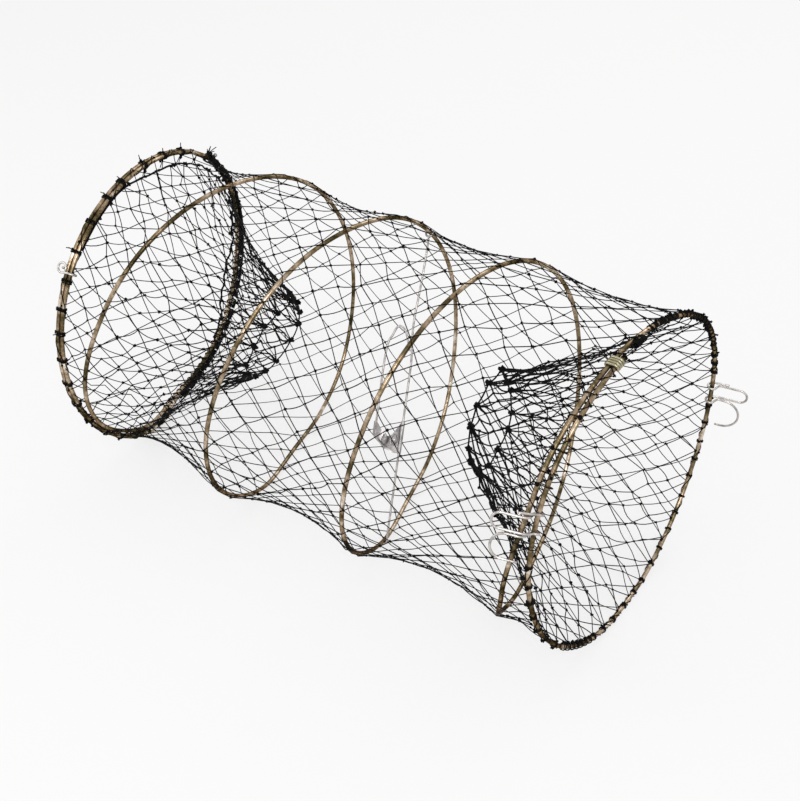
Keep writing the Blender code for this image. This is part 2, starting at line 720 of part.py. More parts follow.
def build():
    """Clear the scene and build the trap."""
    for thing in list(bpy.data.objects):
        bpy.data.objects.remove(thing, do_unlink=True)
    wire_frame()
    nets()
    lashings()
    near = (CLIP_NEAR_REACHES, CLIP_NEAR_LIFT, CLIP_NEAR_STAND, CLIP_NEAR_WIDTHS)
    far = (CLIP_FAR_REACHES, CLIP_FAR_LIFT, CLIP_FAR_STAND, CLIP_FAR_WIDTHS)
    closing_clip("closing_clip_near", CLIP_NEAR_TURN, 1, -1, *near)
    closing_clip("closing_clip_far", CLIP_FAR_TURN, -1, 1, *far)
    left_loop()
    bait_wire()
    bait_pin()
    bait_catch()


build()
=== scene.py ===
"""Looks of the crayfish trap: full net, knots, lashings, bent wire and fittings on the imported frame.

A turn counts once round the trap's axis: 0 is the top, 0.25 the near side, 0.5 the bottom and 0.75 the far
side.
"""

import math
import random

import bpy
import numpy as np
from mathutils import Matrix, Vector

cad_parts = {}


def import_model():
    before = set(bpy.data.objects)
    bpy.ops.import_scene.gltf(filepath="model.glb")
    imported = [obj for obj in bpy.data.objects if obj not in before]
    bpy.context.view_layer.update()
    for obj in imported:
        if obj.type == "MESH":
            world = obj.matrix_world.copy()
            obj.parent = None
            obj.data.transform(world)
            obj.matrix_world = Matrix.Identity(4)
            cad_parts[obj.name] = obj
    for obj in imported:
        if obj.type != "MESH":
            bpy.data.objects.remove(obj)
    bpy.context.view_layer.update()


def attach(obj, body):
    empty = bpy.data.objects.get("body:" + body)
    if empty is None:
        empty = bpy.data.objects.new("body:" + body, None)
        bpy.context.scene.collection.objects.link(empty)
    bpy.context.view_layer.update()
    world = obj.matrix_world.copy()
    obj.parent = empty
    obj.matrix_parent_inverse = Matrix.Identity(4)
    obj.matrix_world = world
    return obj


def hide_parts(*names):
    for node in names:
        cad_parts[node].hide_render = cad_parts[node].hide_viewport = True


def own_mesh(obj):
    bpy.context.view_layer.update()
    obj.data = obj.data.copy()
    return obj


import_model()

TURN = 2 * math.pi
ALONG = np.array((1.0, 0.0, 0.0))

# Sizes and places of the wire frame, as the CAD source has them, in metres
SPAN = 0.5141             # between the centres of the two end rings
RING_RADIUS = 0.148       # from the axis to the middle of a ring's wire
RIM = TURN * RING_RADIUS  # length of wire in one turn
WIRE = 0.004
STRAND_STEP = 0.0046      # between two strands of wire that lie side by side
LEAD_IN = 0.011           # from the left ring's plane to the coil where it comes in
FOOT_REACH = 0.037        # how far to each side of its lowest point a ring is bent flatter
COIL_REACH = 0.062        # the same for the coils
REST_CUT = WIRE / 10
AXIS_Y = 0.003
GAP = 0.0003              # between touching pieces
TWINE = 0.001
NET_LIFT = 0.0005         # between the ground and the body net

# The long wire by turn, from its free end on the right ring on: where it steps beside itself, where the ring
# ends, where it widens to the coil, where the coil is spaced out, and the same back to the left ring
WIRE_START = 0.0285
RING_SHIFT = (0.90, 1.03)
RIGHT_SPLIT = 1.065
COIL_DOWN = (1.065, 1.16)
COIL_STRETCH = (1.03, 4.40)
LEFT_SPLIT = 4.37
COIL_UP = (4.45, 4.60)
LAP_SHIFT = (5.45, 5.52)
WIRE_END = 6.447
SWEEP_STEPS = 220         # in one turn
# Turn of the coil, and its share of the way from the left ring to the right one
COIL_STATIONS = (
    (1.03, 1.0), (1.16, 0.995), (1.28, 0.948), (1.40, 0.867), (1.65, 0.785), (1.90, 0.731),
    (2.15, 0.684), (2.40, 0.585), (2.65, 0.521), (2.90, 0.469), (3.15, 0.388), (3.40, 0.296),
    (3.65, 0.275), (3.90, 0.222), (4.15, 0.095), (4.28, 0.024), (4.40, 0.0),
)
LEFT_X = -0.271515
RIGHT_X = LEFT_X + SPAN
# Each ring's middle along X, how far it leans at its sides and at its top, and its two warps
LEFT_RING = (LEFT_X, 0.014, 0.0, 0.0018, -0.0035)
RIGHT_RING = (RIGHT_X, -0.0198, -0.0148, 0.0024, -0.0029)
FOOT_SINK = FOOT_REACH ** 2 / (4 * RING_RADIUS)
COIL_SINK = COIL_REACH ** 2 / (4 * RING_RADIUS)
AXIS_Z = RING_RADIUS - FOOT_SINK + WIRE / 2 - REST_CUT
COIL_RADIUS = AXIS_Z - WIRE / 2 - GAP - TWINE - NET_LIFT + COIL_SINK

# Where the parts that fold with the coil end, along X
FOLD_LEFT = -0.25151
FOLD_RIGHT = 0.21849

# Waver of the hand-bent coil: turn, and how far its wire lies outside the even radius there
COIL_WAVER = (
    (1.12, 0.0), (1.27, -0.0055), (1.42, -0.005), (1.56, 0.0), (1.75, -0.003), (2.0, 0.0), (2.9, 0.0),
    (3.0, -0.003), (3.1, -0.0025), (3.25, 0.003), (3.45, 0.001), (3.55, 0.001), (3.75, 0.0045), (4.0, 0.003),
    (4.2, 0.0),
)
# Where the wire comes in inside the left ring: turns, how far inside, and how far toward the ring's plane
INSIDE = (4.24, 4.40, 4.70, 4.86)
INSIDE_DROP = 0.0085
INSIDE_SHIFT = -0.0075
# Where the left ring is bent outward along X: middle and half width in turns, and how far
LEFT_KINK = (0.515, 0.13, -0.009)

# Full net
MESHES_ROUND = 32
BODY_ROWS = 29
FUNNEL_MESHES = 40
FUNNEL_ROWS = 11
NET_TWIST = 0.11              # turns per metre along X
NET_COILS = (COIL_STRETCH[0] + 0.12, INSIDE[0])   # turns of the coil that hold the net up
OVER_RING = 0.0006            # between a ring's wire and the middle of a strand on it
OVER_COIL = 0.0008            # the same on the coil
NET_HEIGHT = TWINE / 2 + 0.0001   # of the middle of a strand that lies on the ground
STRAND = 0.00043              # radius of a strand of the net
STRAND_SIDES = 5
DRAW_IN = (0.0092, -0.0026)   # how far the net is drawn in between two coils, and how that changes to the top
END_DRAW_IN = 0.0055          # how much further right behind the left ring
WIDE_BAY = 0.10               # distance between two coils at which the net is drawn in that far
BODY_JITTER = (0.0016, 0.0013)    # of its knots, along X in metres and round the axis in turns
BODY_FIRM = 0.25              # share of that in its first and last rows
BODY_KNOTS = (0.00075, 0.0011)    # smallest and largest
FUNNEL_JITTER = (0.0015, 0.0015, 0.0015)
FUNNEL_FIRM = 0.15
RIM_KNOTS = (0.0008, 0.0012)
FUNNEL_KNOTS = (0.0008, 0.0013)
GATHER_KNOTS = (0.0021, 0.0028)   # big ones on the throat's cord, each with a smaller one beside it
BESIDE_KNOTS = (0.0014, 0.002)
BESIDE = (0.0012, 0.0009, -0.001)
THROAT_JITTER = (0.008, 0.002)    # of the big knots, round the axis in turns and away from it in metres
KNOT_HEIGHT = 1.6             # of a knot above the ground, in its own size
THROAT_RADIUS = 0.043
THROAT_KNOTS = 13
THROAT_SAG = 0.0025           # of the throat's cord between two knots
FUNNEL_SAG = 0.003
# Each throat's middle and tilt, how far its funnel is drawn in halfway, how that changes to the top, and the
# place of its first knot as a share of the way to the second
LEFT_THROAT = ((LEFT_X + 0.144, 0.0013, 0.0016), 0.28, (0.010, 0.0), 0.3)
RIGHT_THROAT = ((RIGHT_X - 0.1343, 0.0037, 0.002), -0.1, (0.0065, -0.0035), 0.1)
# How far the left funnel's rim hangs inside its ring, by turn
SELVEDGE = (
    (0.57, 0.0), (0.62, 0.015), (0.655, 0.025), (0.69, 0.026), (0.75, 0.014), (0.80, 0.0085), (0.985, 0.0085),
    (1.045, 0.0),
)

# Lashings, by turn
HOLD = WIRE / 2 + TWINE / 2 + 0.0001   # from the middle of the wire to the middle of the twine round it
HITCH_HOLD = HOLD + 0.0003
THIN = TWINE * 0.42
NEAR_HITCHES = (0.935, 0.965, 0.995, 1.03, 1.053, 1.083, 1.115, 1.145, 1.173, 1.197)
SELVEDGE_TIES = NEAR_HITCHES[:5] + (0.905, 0.84, 0.80)
SELVEDGE_CORD = 0.00085
INNER_WRAPS = (4.47, 4.80)
INNER_WRAPS_ROUND = 118       # wraps in a turn
# Rows of hitches: from, to, and the step between two
LEFT_HITCHES = (1.226, 1.46, 0.0295)
RIGHT_NEAR_HITCHES = (0.224, 0.735, 0.0205)
RIGHT_DENSE_HITCHES = (0.355, 0.43, 0.0088)
RIGHT_FAR_HITCHES = (0.812, 0.985, 0.0074)
# Twine along a ring: from, to, how often it winds round the wire in a turn, where it starts, and its radius
LEFT_CORDS = ((0.873, 1.05, 24, 0.1), (0.885, 1.02, 31, 0.55), (1.05, 1.47, 17, 0.3, THIN))
LEFT_FAR_CORD = (0.56, 0.873, 11, 0.7, TWINE * 0.7)
RIGHT_NEAR_CORDS = ((0.215, 0.735, 33, 0.2, THIN), (0.447, 0.515, 60, 0.0), (0.452, 0.51, 75, 0.5))
RIGHT_FAR_CORD = (0.775, 0.99, 50, 0.4, TWINE * 0.4)
# Close wraps: from, to, and the shortest and longest runs and bare gaps between them, in metres
LEFT_WRAPS = ((0.512, 0.872, (0.008, 0.014), (0.001, 0.0035)), (0.45, 0.487, (0.003, 0.006), (0.003, 0.006)))
RIGHT_FAR_WRAPS = (0.945, 0.985, (0.002, 0.004), (0.002, 0.004))
RIGHT_TOP_WRAPS = (0.0, 0.0135, (0.004, 0.006), (0.0008, 0.002))
RIGHT_THREE_WRAPS = (0.778, 0.79, 0.802)
RIGHT_TOP_KNOTS = (0.958, 0.975, 0.984)
RIGHT_STRAND_HITCHES = (0.071, 0.093, 0.122, 0.141, 0.152, 0.205)
RIGHT_TIE = 0.0375
LEFT_TIE = 0.436
TOP_TIE = 0.878

# Closing clips: turn of the first eye, which way the wire climbs, reaches and lift of its hairpins, how far
# it is turned out, and the hairpins' widths
CLIP_WIRE = 0.002
CLIP_GAP = 0.0007
CLIP_TAIL = 0.014
CLIP_NEAR = (0.1755, 1, (0.0325, 0.0295), 0.0088, math.radians(18), (0.0126, 0.0205))
CLIP_FAR = (0.757, -1, (0.0315, 0.0268), 0.0048, math.radians(4), (0.0130, 0.0290))
EYE_STEP = 0.0028
EYE_SWEEP = math.radians(270)
LEFT_LOOP_TURN = 0.136
LEFT_LOOP_REACH = 0.003
LEFT_LOOP_RADIUS = 0.0045

# Bait holder
BAIT_WIRE = 0.002
BAIT_TOP_TURN = 2.858
BAIT_FOOT_TURN = 2.438
BAIT_BOW = 0.0055         # by which the hung wire is bent
TOP_SWEEP = math.radians(118)
FOOT_SWEEP = (math.radians(75), math.radians(160))
PIN_SIDE = (-1, -0.48, 0.12)
PIN_START = 0.112
PIN_ARCH = 0.0215
PIN_ARCH_WIDTH = 0.0206
PIN_SPREAD = 0.0253
CATCH_START = 0.183
CATCH_LENGTH = 0.028
CATCH_LAP = 0.007
CATCH_TAPER = 0.45
CATCH_NOTCH = 0.52        # depth of the notch in its top edge, as a share of its length
CATCH_SHEET = 0.0006      # thickness
COIL_SEGMENTS = 28        # straight pieces in one turn of the CAD coil

# Light and background
PALE_FLOOR = (0.945, 0.94, 0.94, 1)
PALE_DISTANCE = (0.895, 0.89, 0.89, 1)
FLOOR_GLOW = 0.72         # share of the floor that is plain colour and takes no shadow
FLOOR_REACH = 30.0
SKY = (0.38, 1.15)        # strength of the light from the horizon and from overhead
LAMP_TARGET = (0, 0, 0.1)

rng = random.Random(7)


def spaced(first, last, count):
    """Values from one to another in even steps, both among them."""
    return [first + (last - first) * index / count for index in range(count + 1)]


def hump(share):
    """A parabola that is 1 in the middle and 0 at both ends."""
    return 4 * share * (1 - share)


def smooth(low, high, value):
    share = min(max((value - low) / (high - low), 0.0), 1.0)
    return share * share * (3 - 2 * share)


def bump(turn, middle, half, height):
    """A smooth swell round one turn of a ring."""
    away = abs((turn - middle + 0.5) % 1.0 - 0.5) / half
    return height * math.cos(math.pi / 2 * min(away, 1.0)) ** 2


def between(stations, turn):
    """A value that passes smoothly through stations of turn and value, and is 0 outside them."""
    for (low_turn, low), (high_turn, high) in zip(stations, stations[1:]):
        if low_turn <= turn <= high_turn:
            return low + (high - low) * smooth(low_turn, high_turn, turn)
    return 0.0


def unit(vector):
    return vector / max(np.linalg.norm(vector), 1e-12)


def ring_plane(turn, middle, swing, lean, warp_along, warp_across):
    angle = TURN * turn
    warp = warp_along * math.cos(2 * angle) + warp_across * math.sin(2 * angle)
    return middle + swing * math.sin(angle) + lean * math.cos(angle) + warp


def left_plane(turn):
    return ring_plane(turn, *LEFT_RING) + bump(turn, *LEFT_KINK)


def right_plane(turn):
    return ring_plane(turn, *RIGHT_RING)


def radial(turn):
    angle = TURN * turn
    return np.array((0.0, -math.sin(angle), math.cos(angle)))


def place(x, turn, radius):
    return np.array((x, AXIS_Y, AXIS_Z)) + radius * radial(turn)


def coil_slopes():
    """Steady slopes at the coil's stations, so that its spacing has no kinks."""
    steps = []
    for (turn, share), (next_turn, next_share) in zip(COIL_STATIONS, COIL_STATIONS[1:]):
        steps.append((next_share - share) / (next_turn - turn))
    middle = [2 * before * after / (before + after) for before, after in zip(steps, steps[1:])]
    return [0.0] + middle + [0.0]


SLOPES = coil_slopes()


def coil_share(turn):
    """Share of the way from the left ring to the right one at which the coil lies."""
    index = 0
    while index < len(COIL_STATIONS) - 2 and turn > COIL_STATIONS[index + 1][0]:
        index += 1
    low_turn, low = COIL_STATIONS[index]
    high_turn, high = COIL_STATIONS[index + 1]
    width = high_turn - low_turn
    part = min(max((turn - low_turn) / width, 0.0), 1.0)
    share = (1 + 2 * part) * (1 - part) ** 2 * low + part * (1 - part) ** 2 * width * SLOPES[index]
    share += part * part * (3 - 2 * part) * high
    return share + part * part * (part - 1) * width * SLOPES[index + 1]


def inside(turn):
    """Share by which the incoming wire lies inside the left ring."""
    return smooth(INSIDE[0], INSIDE[1], turn) - smooth(INSIDE[2], INSIDE[3], turn)


def wire_x(turn):
    if turn <= COIL_STRETCH[0]:
        return right_plane(turn) - STRAND_STEP * smooth(*RING_SHIFT, turn)
    lead = LEAD_IN + INSIDE_SHIFT * inside(turn)
    if turn <= COIL_STRETCH[1]:
        right_side = right_plane(turn) - STRAND_STEP
        left_side = left_plane(turn) + lead
        return left_side + coil_share(turn) * (right_side - left_side)
    offset = lead + (STRAND_STEP - lead) * smooth(*COIL_UP, turn)
    offset -= STRAND_STEP * smooth(*LAP_SHIFT, turn)
    return left_plane(turn) + offset


def foot_bend(turn, reach):
    along = RIM * abs(turn % 1.0 - 0.5)
    share = min(along / reach, 1.0)
    return reach ** 2 / (4 * RING_RADIUS) * (1 - share * share) ** 2


def ring_radius(turn):
    return RING_RADIUS - foot_bend(turn, FOOT_REACH)


def coil_radius(turn):
    """Distance of a coil's wire from the axis, with the waver of a wire bent by hand."""
    return COIL_RADIUS - foot_bend(turn, COIL_REACH) + between(COIL_WAVER, turn)


def wire_radius(turn):
    share = smooth(*COIL_DOWN, turn) - smooth(*COIL_UP, turn)
    even = ring_radius(turn) + (coil_radius(turn) - ring_radius(turn)) * share
    return even - INSIDE_DROP * inside(turn)


def wire_point(turn):
    return place(wire_x(turn), turn, wire_radius(turn))


def arc(centre, first, second, radius, start, end, count):
    """Points of an arc in the plane of two unit directions."""
    angles = spaced(start, end, count)
    return [centre + radius * (math.cos(angle) * first + math.sin(angle) * second) for angle in angles]


def flowing(points, count):
    """A smooth curve through a list of points, with this many steps between two of them."""
    ends = [2 * points[0] - points[1]] + points + [2 * points[-1] - points[-2]]
    curve = [points[0]]
    for before, start, end, after in zip(ends, ends[1:], ends[2:], ends[3:]):
        for index in range(1, count + 1):
            share = index / count
            bend = (2 * before - 5 * start + 4 * end - after) * share * share
            bend = bend + (3 * start - 3 * end + after - before) * share ** 3
            curve.append(start + ((end - before) * share + bend) / 2)
    return curve


def rounded_ends(points, radii, tangents):
    """Two more rings past each end of a tube, which close it to a rounded tip."""
    first, last = points[0], points[-1]
    first_radius, last_radius = radii[0], radii[-1]
    behind = unit(points[0] - points[1])
    ahead = unit(points[-1] - points[-2])
    for reach, width in ((0.3, 0.75), (0.55, 0.02)):
        start = first + reach * first_radius * behind
        points = np.vstack((start, points, last + reach * last_radius * ahead))
        radii = np.concatenate(([width * first_radius], radii, [width * last_radius]))
        tangents = np.vstack((tangents[:1], tangents, tangents[-1:]))
    return points, radii, tangents


def steady_frames(tangents):
    """Two directions across a path at each point, which turn as little as they can."""
    side = unit(np.cross(tangents[0], (0.3, 0.5, 0.81)))
    frames = []
    for tangent in tangents:
        side = unit(side - side.dot(tangent) * tangent)
        frames.append((side, np.cross(tangent, side)))
    return np.array(frames)


def joined_frames(frames, tangents):
    """The same, with the turn between the last and the first spread over a closed path."""
    slip = math.atan2(frames[0][0].dot(frames[-1][1]), frames[0][0].dot(frames[-1][0]))
    turns = slip * np.linspace(0, 1, len(tangents))
    twisted = np.cos(turns)[:, None] * frames[:, 0] + np.sin(turns)[:, None] * frames[:, 1]
    return np.stack((twisted, np.cross(tangents, twisted)), 1)


def shown(name, data):
    thing = bpy.data.objects.new(name, data)
    bpy.context.scene.collection.objects.link(thing)
    return thing


class Stock:
    """Collects swept tubes and knots, and turns them into one mesh piece."""

    def __init__(self):
        self.points = []
        self.faces = []
        self.uvs = []
        self.count = 0
        self.knots = []

    def grid(self, rings, lengths):
        """Rings of points, one row for each step along a tube."""
        steps, sides, _ = rings.shape
        first = self.count + np.arange(steps * sides).reshape(steps, sides)
        after = np.roll(first, -1, 1)
        spots = np.stack(np.meshgrid(lengths, np.arange(sides + 1) / sides, indexing="ij"), -1)
        corners = (spots[:-1, :-1], spots[:-1, 1:], spots[1:, 1:], spots[1:, :-1])
        self.points.append(rings.reshape(-1, 3))
        self.faces.append(np.stack((first[:-1], after[:-1], after[1:], first[1:]), -1).reshape(-1, 4))
        self.uvs.append(np.stack(corners, 2).reshape(-1, 2))
        self.count += steps * sides

    def tube(self, points, radius, sides=8, closed=False, rounded=True, on_ground=True):
        """One tube along a path."""
        points = np.array(points, float)
        radii = np.full(len(points), float(radius)) if np.isscalar(radius) else np.asarray(radius, float)
        if on_ground:
            points[:, 2] = np.maximum(points[:, 2], np.maximum(radii, TWINE / 2))
        if closed:
            points = np.vstack((points, points[:1]))
            radii = np.append(radii, radii[0])
        tangents = np.gradient(points, axis=0)
        if closed:
            tangents[0] = tangents[-1] = points[1] - points[-2]
        elif rounded:
            points, radii, tangents = rounded_ends(points, radii, tangents)
        tangents = tangents / np.maximum(np.linalg.norm(tangents, axis=1, keepdims=True), 1e-12)
        frames = steady_frames(tangents)
        if closed:
            frames = joined_frames(frames, tangents)
        angles = TURN * np.arange(sides) / sides
        cosines = np.cos(angles)[None, :, None]
        sines = np.sin(angles)[None, :, None]
        across = cosines * frames[:, None, 0] + sines * frames[:, None, 1]
        rings = points[:, None] + radii[:, None, None] * across
        steps = np.linalg.norm(np.diff(points, axis=0), axis=1)
        self.grid(rings, np.concatenate(([0.0], np.cumsum(steps))))

    def add_knots(self, centres, low, high):
        """Overhand knots of sizes between two, each turned its own way."""
        if not centres:
            return
        turns = np.array([random_turn() for _ in centres])
        sizes = np.array([rng.uniform(low, high) for _ in centres])
        centres = np.array(centres)
        centres[:, 2] = np.maximum(centres[:, 2], KNOT_HEIGHT * sizes)
        corners = np.tile(((0.0, 0.0), (0.0, 0.2), (0.001, 0.2), (0.001, 0.0)), (len(KNOT_FACES), 1))
        for copy in np.einsum("kij,nj->kni", turns, KNOT_POINTS) * sizes[:, None, None] + centres[:, None]:
            self.points.append(copy)
            self.faces.append(KNOT_FACES + self.count)
            self.uvs.append(corners)
            self.count += len(copy)

    def piece(self, name, material, body, slot, *nodes):
        mesh = bpy.data.meshes.new(name)
        mesh.from_pydata(np.concatenate(self.points), [], np.concatenate(self.faces), shade_flat=False)
        layer = mesh.uv_layers.new(name="along")
        layer.data.foreach_set("uv", np.concatenate(self.uvs).astype(np.float32).ravel())
        mesh.update(calc_edges=True)
        mesh.validate()
        mesh.materials.append(material)
        thing = shown(name, mesh)
        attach(thing, body)
        if nodes:
            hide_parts(*nodes)
        return thing

    def twine_piece(self, name, body, low, high, *nodes):
        """The piece in black twine, with its knots of sizes between two."""
        self.add_knots(self.knots, low, high)
        return self.piece(name, BLACK, body, "twine", *nodes)


def tube_piece(name, points, radius, sides, material, body, slot, *nodes, **ends):
    """A piece of one tube."""
    stock = Stock()
    stock.tube(points, radius, sides, **ends)
    return stock.piece(name, material, body, slot, *nodes)


# Materials


class Graph:
    """The nodes of a material or of the world."""

    def __init__(self, owner):
        owner.use_nodes = True
        self.nodes = owner.node_tree.nodes
        self.links = owner.node_tree.links

    def connect(self, node, inputs):
        """Set a node's inputs, or link them to other nodes' outputs."""
        for key, value in inputs.items():
            if isinstance(value, bpy.types.NodeSocket):
                self.links.new(value, node.inputs[key])
            else:
                node.inputs[key].default_value = value

    def add(self, kind, inputs, **settings):
        node = self.nodes.new("ShaderNode" + kind)
        for name, value in settings.items():
            setattr(node, name, value)
        self.connect(node, inputs)
        return node

    def noise(self, scale, detail, roughness=0.5, source=None):
        source = source or self.add("TexCoord", {}).outputs["Object"]
        inputs = {"Scale": scale, "Detail": detail, "Roughness": roughness, "Vector": source}
        return self.add("TexNoise", inputs).outputs["Fac"]

    def stretched(self, along, around):
        """The tube's own coordinates, scaled along and around it."""
        source = self.add("UVMap", {}, uv_map="along").outputs["UV"]
        return self.add("Mapping", {"Scale": (along, around, 1), "Vector": source}).outputs["Vector"]

    def ramp(self, source, stops):
        node = self.add("ValToRGB", {"Fac": source})
        elements = node.color_ramp.elements
        for element, (position, colour) in ((elements[0], stops[0]), (elements[1], stops[-1])):
            element.position = position
            element.color = (*colour, 1)
        for position, colour in stops[1:-1]:
            elements.new(position).color = (*colour, 1)
        return node.outputs["Color"]

    def scaled(self, source, low, high, to_low, to_high):
        inputs = {"From Min": low, "From Max": high, "To Min": to_low, "To Max": to_high, "Value": source}
        return self.add("MapRange", inputs).outputs["Result"]

    def bump(self, height, shader, strength, distance):
        node = self.add("Bump", {"Strength": strength, "Distance": distance, "Height": height})
        self.connect(shader, {"Normal": node.outputs["Normal"]})

    def seen_share(self):
        """1 for rays that see the floor or the surroundings straight, in a reflection or through glass."""
        path = self.add("LightPath", {})
        share = path.outputs["Is Camera Ray"]
        for name in ("Is Glossy Ray", "Is Transmission Ray"):
            share = self.add("Math", {0: share, 1: path.outputs[name]}, operation="MAXIMUM").outputs["Value"]
        return share

    def show_blend(self, share, low, high, output):
        """Send a blend of two shaders to the output."""
        mix = self.add("MixShader", {"Fac": share, 1: low, 2: high})
        self.connect(self.nodes[output], {"Surface": mix.outputs["Shader"]})


def new_material(name):
    material = bpy.data.materials.new(name)
    graph = Graph(material)
    return material, graph, graph.nodes["Principled BSDF"]


def zinc_material(name, stops, dirt_and_shade_share=0.65):
    """Yellow zinc on spring wire in patches through the given stops: tan and shinier where it is clean, olive
    and brown and rougher where it has dulled, times dark specks that are partly dirt and partly painted shade
    of the wire's edges.
    """
    material, graph, shader = new_material(name)
    patches = graph.noise(34.0, 5.0, 0.68)
    # Dark specks along the wire: partly dirt, partly painted shade standing in for the wire's darker edges
    specks = graph.noise(700.0, 4.0, 0.6, graph.stretched(0.35, 0.004))
    dirt_and_edge_shade = graph.ramp(specks, ((0.32, (0.22, 0.17, 0.10)), (0.44, (0.75, 0.70, 0.60)), (0.52, (1, 1, 1))))
    inputs = {"Factor": dirt_and_shade_share, "A": graph.ramp(patches, stops), "B": dirt_and_edge_shade}
    mix = graph.add("Mix", inputs, data_type="RGBA", blend_type="MULTIPLY")
    graph.connect(shader, {
        "Base Color": mix.outputs["Result"],
        "Metallic": 0.92,
        "Specular Tint": (0.12, 0.08, 0.04, 1),
        "Roughness": graph.scaled(patches, 0.3, 0.7, 0.36, 0.2),
    })
    graph.bump(graph.noise(1.0, 3.0, source=graph.stretched(60.0, 26.0)), shader, 0.15, 0.0004)
    return material


def twine_material():
    """Black twisted net twine, matt, with slightly dusty high spots."""
    material, graph, shader = new_material("black_twine")
    colour = graph.ramp(graph.noise(120.0, 4.0), (
        (0.30, (0.0012, 0.0012, 0.0014)), (0.60, (0.003, 0.0026, 0.0026)), (0.78, (0.012, 0.009, 0.007)),
    ))
    graph.connect(shader, {"Base Color": colour, "Roughness": 0.7, "Specular IOR Level": 0.1})
    inputs = {"Scale": 1.0, "Distortion": 0.6, "Vector": graph.stretched(700.0, 1.8)}
    lay = graph.add("TexWave", inputs, wave_type="BANDS", bands_direction="DIAGONAL")
    graph.bump(lay.outputs["Fac"], shader, 0.5, 0.0002)
    return material


def bright_material(name, colour, metallic, low_rough, high_rough, edge):
    """Pale galvanised wire or sheet, finely uneven, with darker patches that are partly spangles and partly
    painted shade.
    """
    material, graph, shader = new_material(name)
    patches = graph.noise(160.0, 4.0, 0.6)
    # Darker patches at 0.55 of the colour: spangles, and painted shade for the wire's grey edges
    spangle_and_shade = tuple(0.55 * part for part in colour)
    graph.connect(shader, {
        "Base Color": graph.ramp(patches, ((0.34, spangle_and_shade), (0.56, colour))),
        "Metallic": metallic,
        "Specular Tint": (*edge, 1),
        "Roughness": graph.scaled(patches, 0.3, 0.7, high_rough, low_rough),
    })
    graph.bump(graph.noise(1400.0, 2.0), shader, 0.1, 0.0002)
    return material


# The palest stop is a painted highlight and the darkest a painted shade of the wire's edges; the stops
# between are the zinc's own tan, olive and brown
ZINC = zinc_material("zinc_wire", (
    (0.35, (0.035, 0.028, 0.012)), (0.44, (0.13, 0.10, 0.05)), (0.51, (0.30, 0.225, 0.14)),
    (0.59, (0.54, 0.43, 0.32)), (0.68, (0.88, 0.81, 0.72)),
))
PALE = zinc_material("pale_tie", (
    (0.30, (0.20, 0.19, 0.10)), (0.45, (0.42, 0.39, 0.27)), (0.62, (0.66, 0.62, 0.52)),
), 0.5)
BLACK = twine_material()
BRIGHT = bright_material("bright_wire", (0.62, 0.585, 0.56), 0.92, 0.2, 0.36, (0.16, 0.14, 0.13))
# This wire and the sheet below are darker than bright_wire, partly as a duller finish and partly as painted
# shade of the net that the bait holder lies inside; the bead uses the same sheet
DULL_SHADED = bright_material("dull_shaded_wire", (0.50, 0.47, 0.455), 0.9, 0.28, 0.42, (0.2, 0.18, 0.17))
SHEET = bright_material("bright_sheet", (0.44, 0.42, 0.415), 0.9, 0.28, 0.45, (0.2, 0.18, 0.17))


# Wire frame


def wire_piece(name, start, end, body, *nodes):
    """A stretch of the long wire, finely swept."""
    points = [wire_point(turn) for turn in spaced(start, end, math.ceil((end - start) * SWEEP_STEPS))]
    return tube_piece(name, points, WIRE / 2, 16, ZINC, body, "zinc_wire", *nodes)


def fold_turn(fold_x, low, high):
    """The turn between two others at which the wire passes this X."""
    for _ in range(40):
        middle = (low + high) / 2
        if (wire_x(middle) - fold_x) * (wire_x(high) - fold_x) <= 0:
            low = middle
        else:
            high = middle
    return (low + high) / 2


def fold(thing):
    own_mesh(thing)


def wires():
    """The long wire in the CAD's stretches, the coil cut once more where it stops folding."""
    split = GAP / RIM
    coil_end = fold_turn(FOLD_LEFT, 4.0, LEFT_SPLIT)
    wire_piece("right_ring_wire", WIRE_START, RIGHT_SPLIT, "right_end", "right_end_ring")
    wire_piece("left_ring_wire", LEFT_SPLIT, WIRE_END, "left_end", "left_end_ring")
    coil = wire_piece("coil_wire", RIGHT_SPLIT + split, coil_end, "left_end", "spring_coil")
    fold(coil)
    wire_piece("coil_wire_left", coil_end, LEFT_SPLIT - split, "left_end")


# Net


def coil_passes(turn):
    """X and distance from the axis of each wire that the net passes over at this turn."""
    on_ring = ring_radius(turn) + WIRE / 2 + OVER_RING
    spots = [(left_plane(turn) + STRAND_STEP / 2, on_ring)]
    for lap in range(4, 0, -1):
        at = turn + lap
        if NET_COILS[0] < at < NET_COILS[1]:
            spots.append((wire_x(at), coil_radius(at) + WIRE / 2 + OVER_COIL))
    spots.append((right_plane(turn), on_ring))
    return spots


def net_radius(x, turn):
    """Distance of the body net from the axis, resting on the wires and drawn in between them."""
    spots = coil_passes(turn % 1.0)
    if x <= spots[0][0]:
        return spots[0][1]
    for (low_x, low), (high_x, high) in zip(spots, spots[1:]):
        if x <= high_x:
            gap = high_x - low_x
            share = (x - low_x) / max(gap, 1e-6)
            drawn = DRAW_IN[0] + DRAW_IN[1] * math.cos(TURN * turn)
            if low_x == spots[0][0]:
                drawn += END_DRAW_IN * (1 - share)
            return low + (high - low) * share - drawn * min(gap / WIDE_BAY, 1.3) * hump(share)
    return spots[-1][1]


def knot_template():
    """One overhand knot, as a short closed tube."""
    stock = Stock()
    path = []
    for angle in spaced(0.0, TURN, 12)[:-1]:
        path.append((
            0.42 * (math.sin(angle) + 1.6 * math.sin(2 * angle)),
            0.42 * (math.cos(angle) - 1.6 * math.cos(2 * angle)),
            -0.62 * math.sin(3 * angle),
        ))
    stock.tube(path, 0.56, 4, closed=True, on_ground=False)
    return stock.points[0], stock.faces[0]


KNOT_POINTS, KNOT_FACES = knot_template()


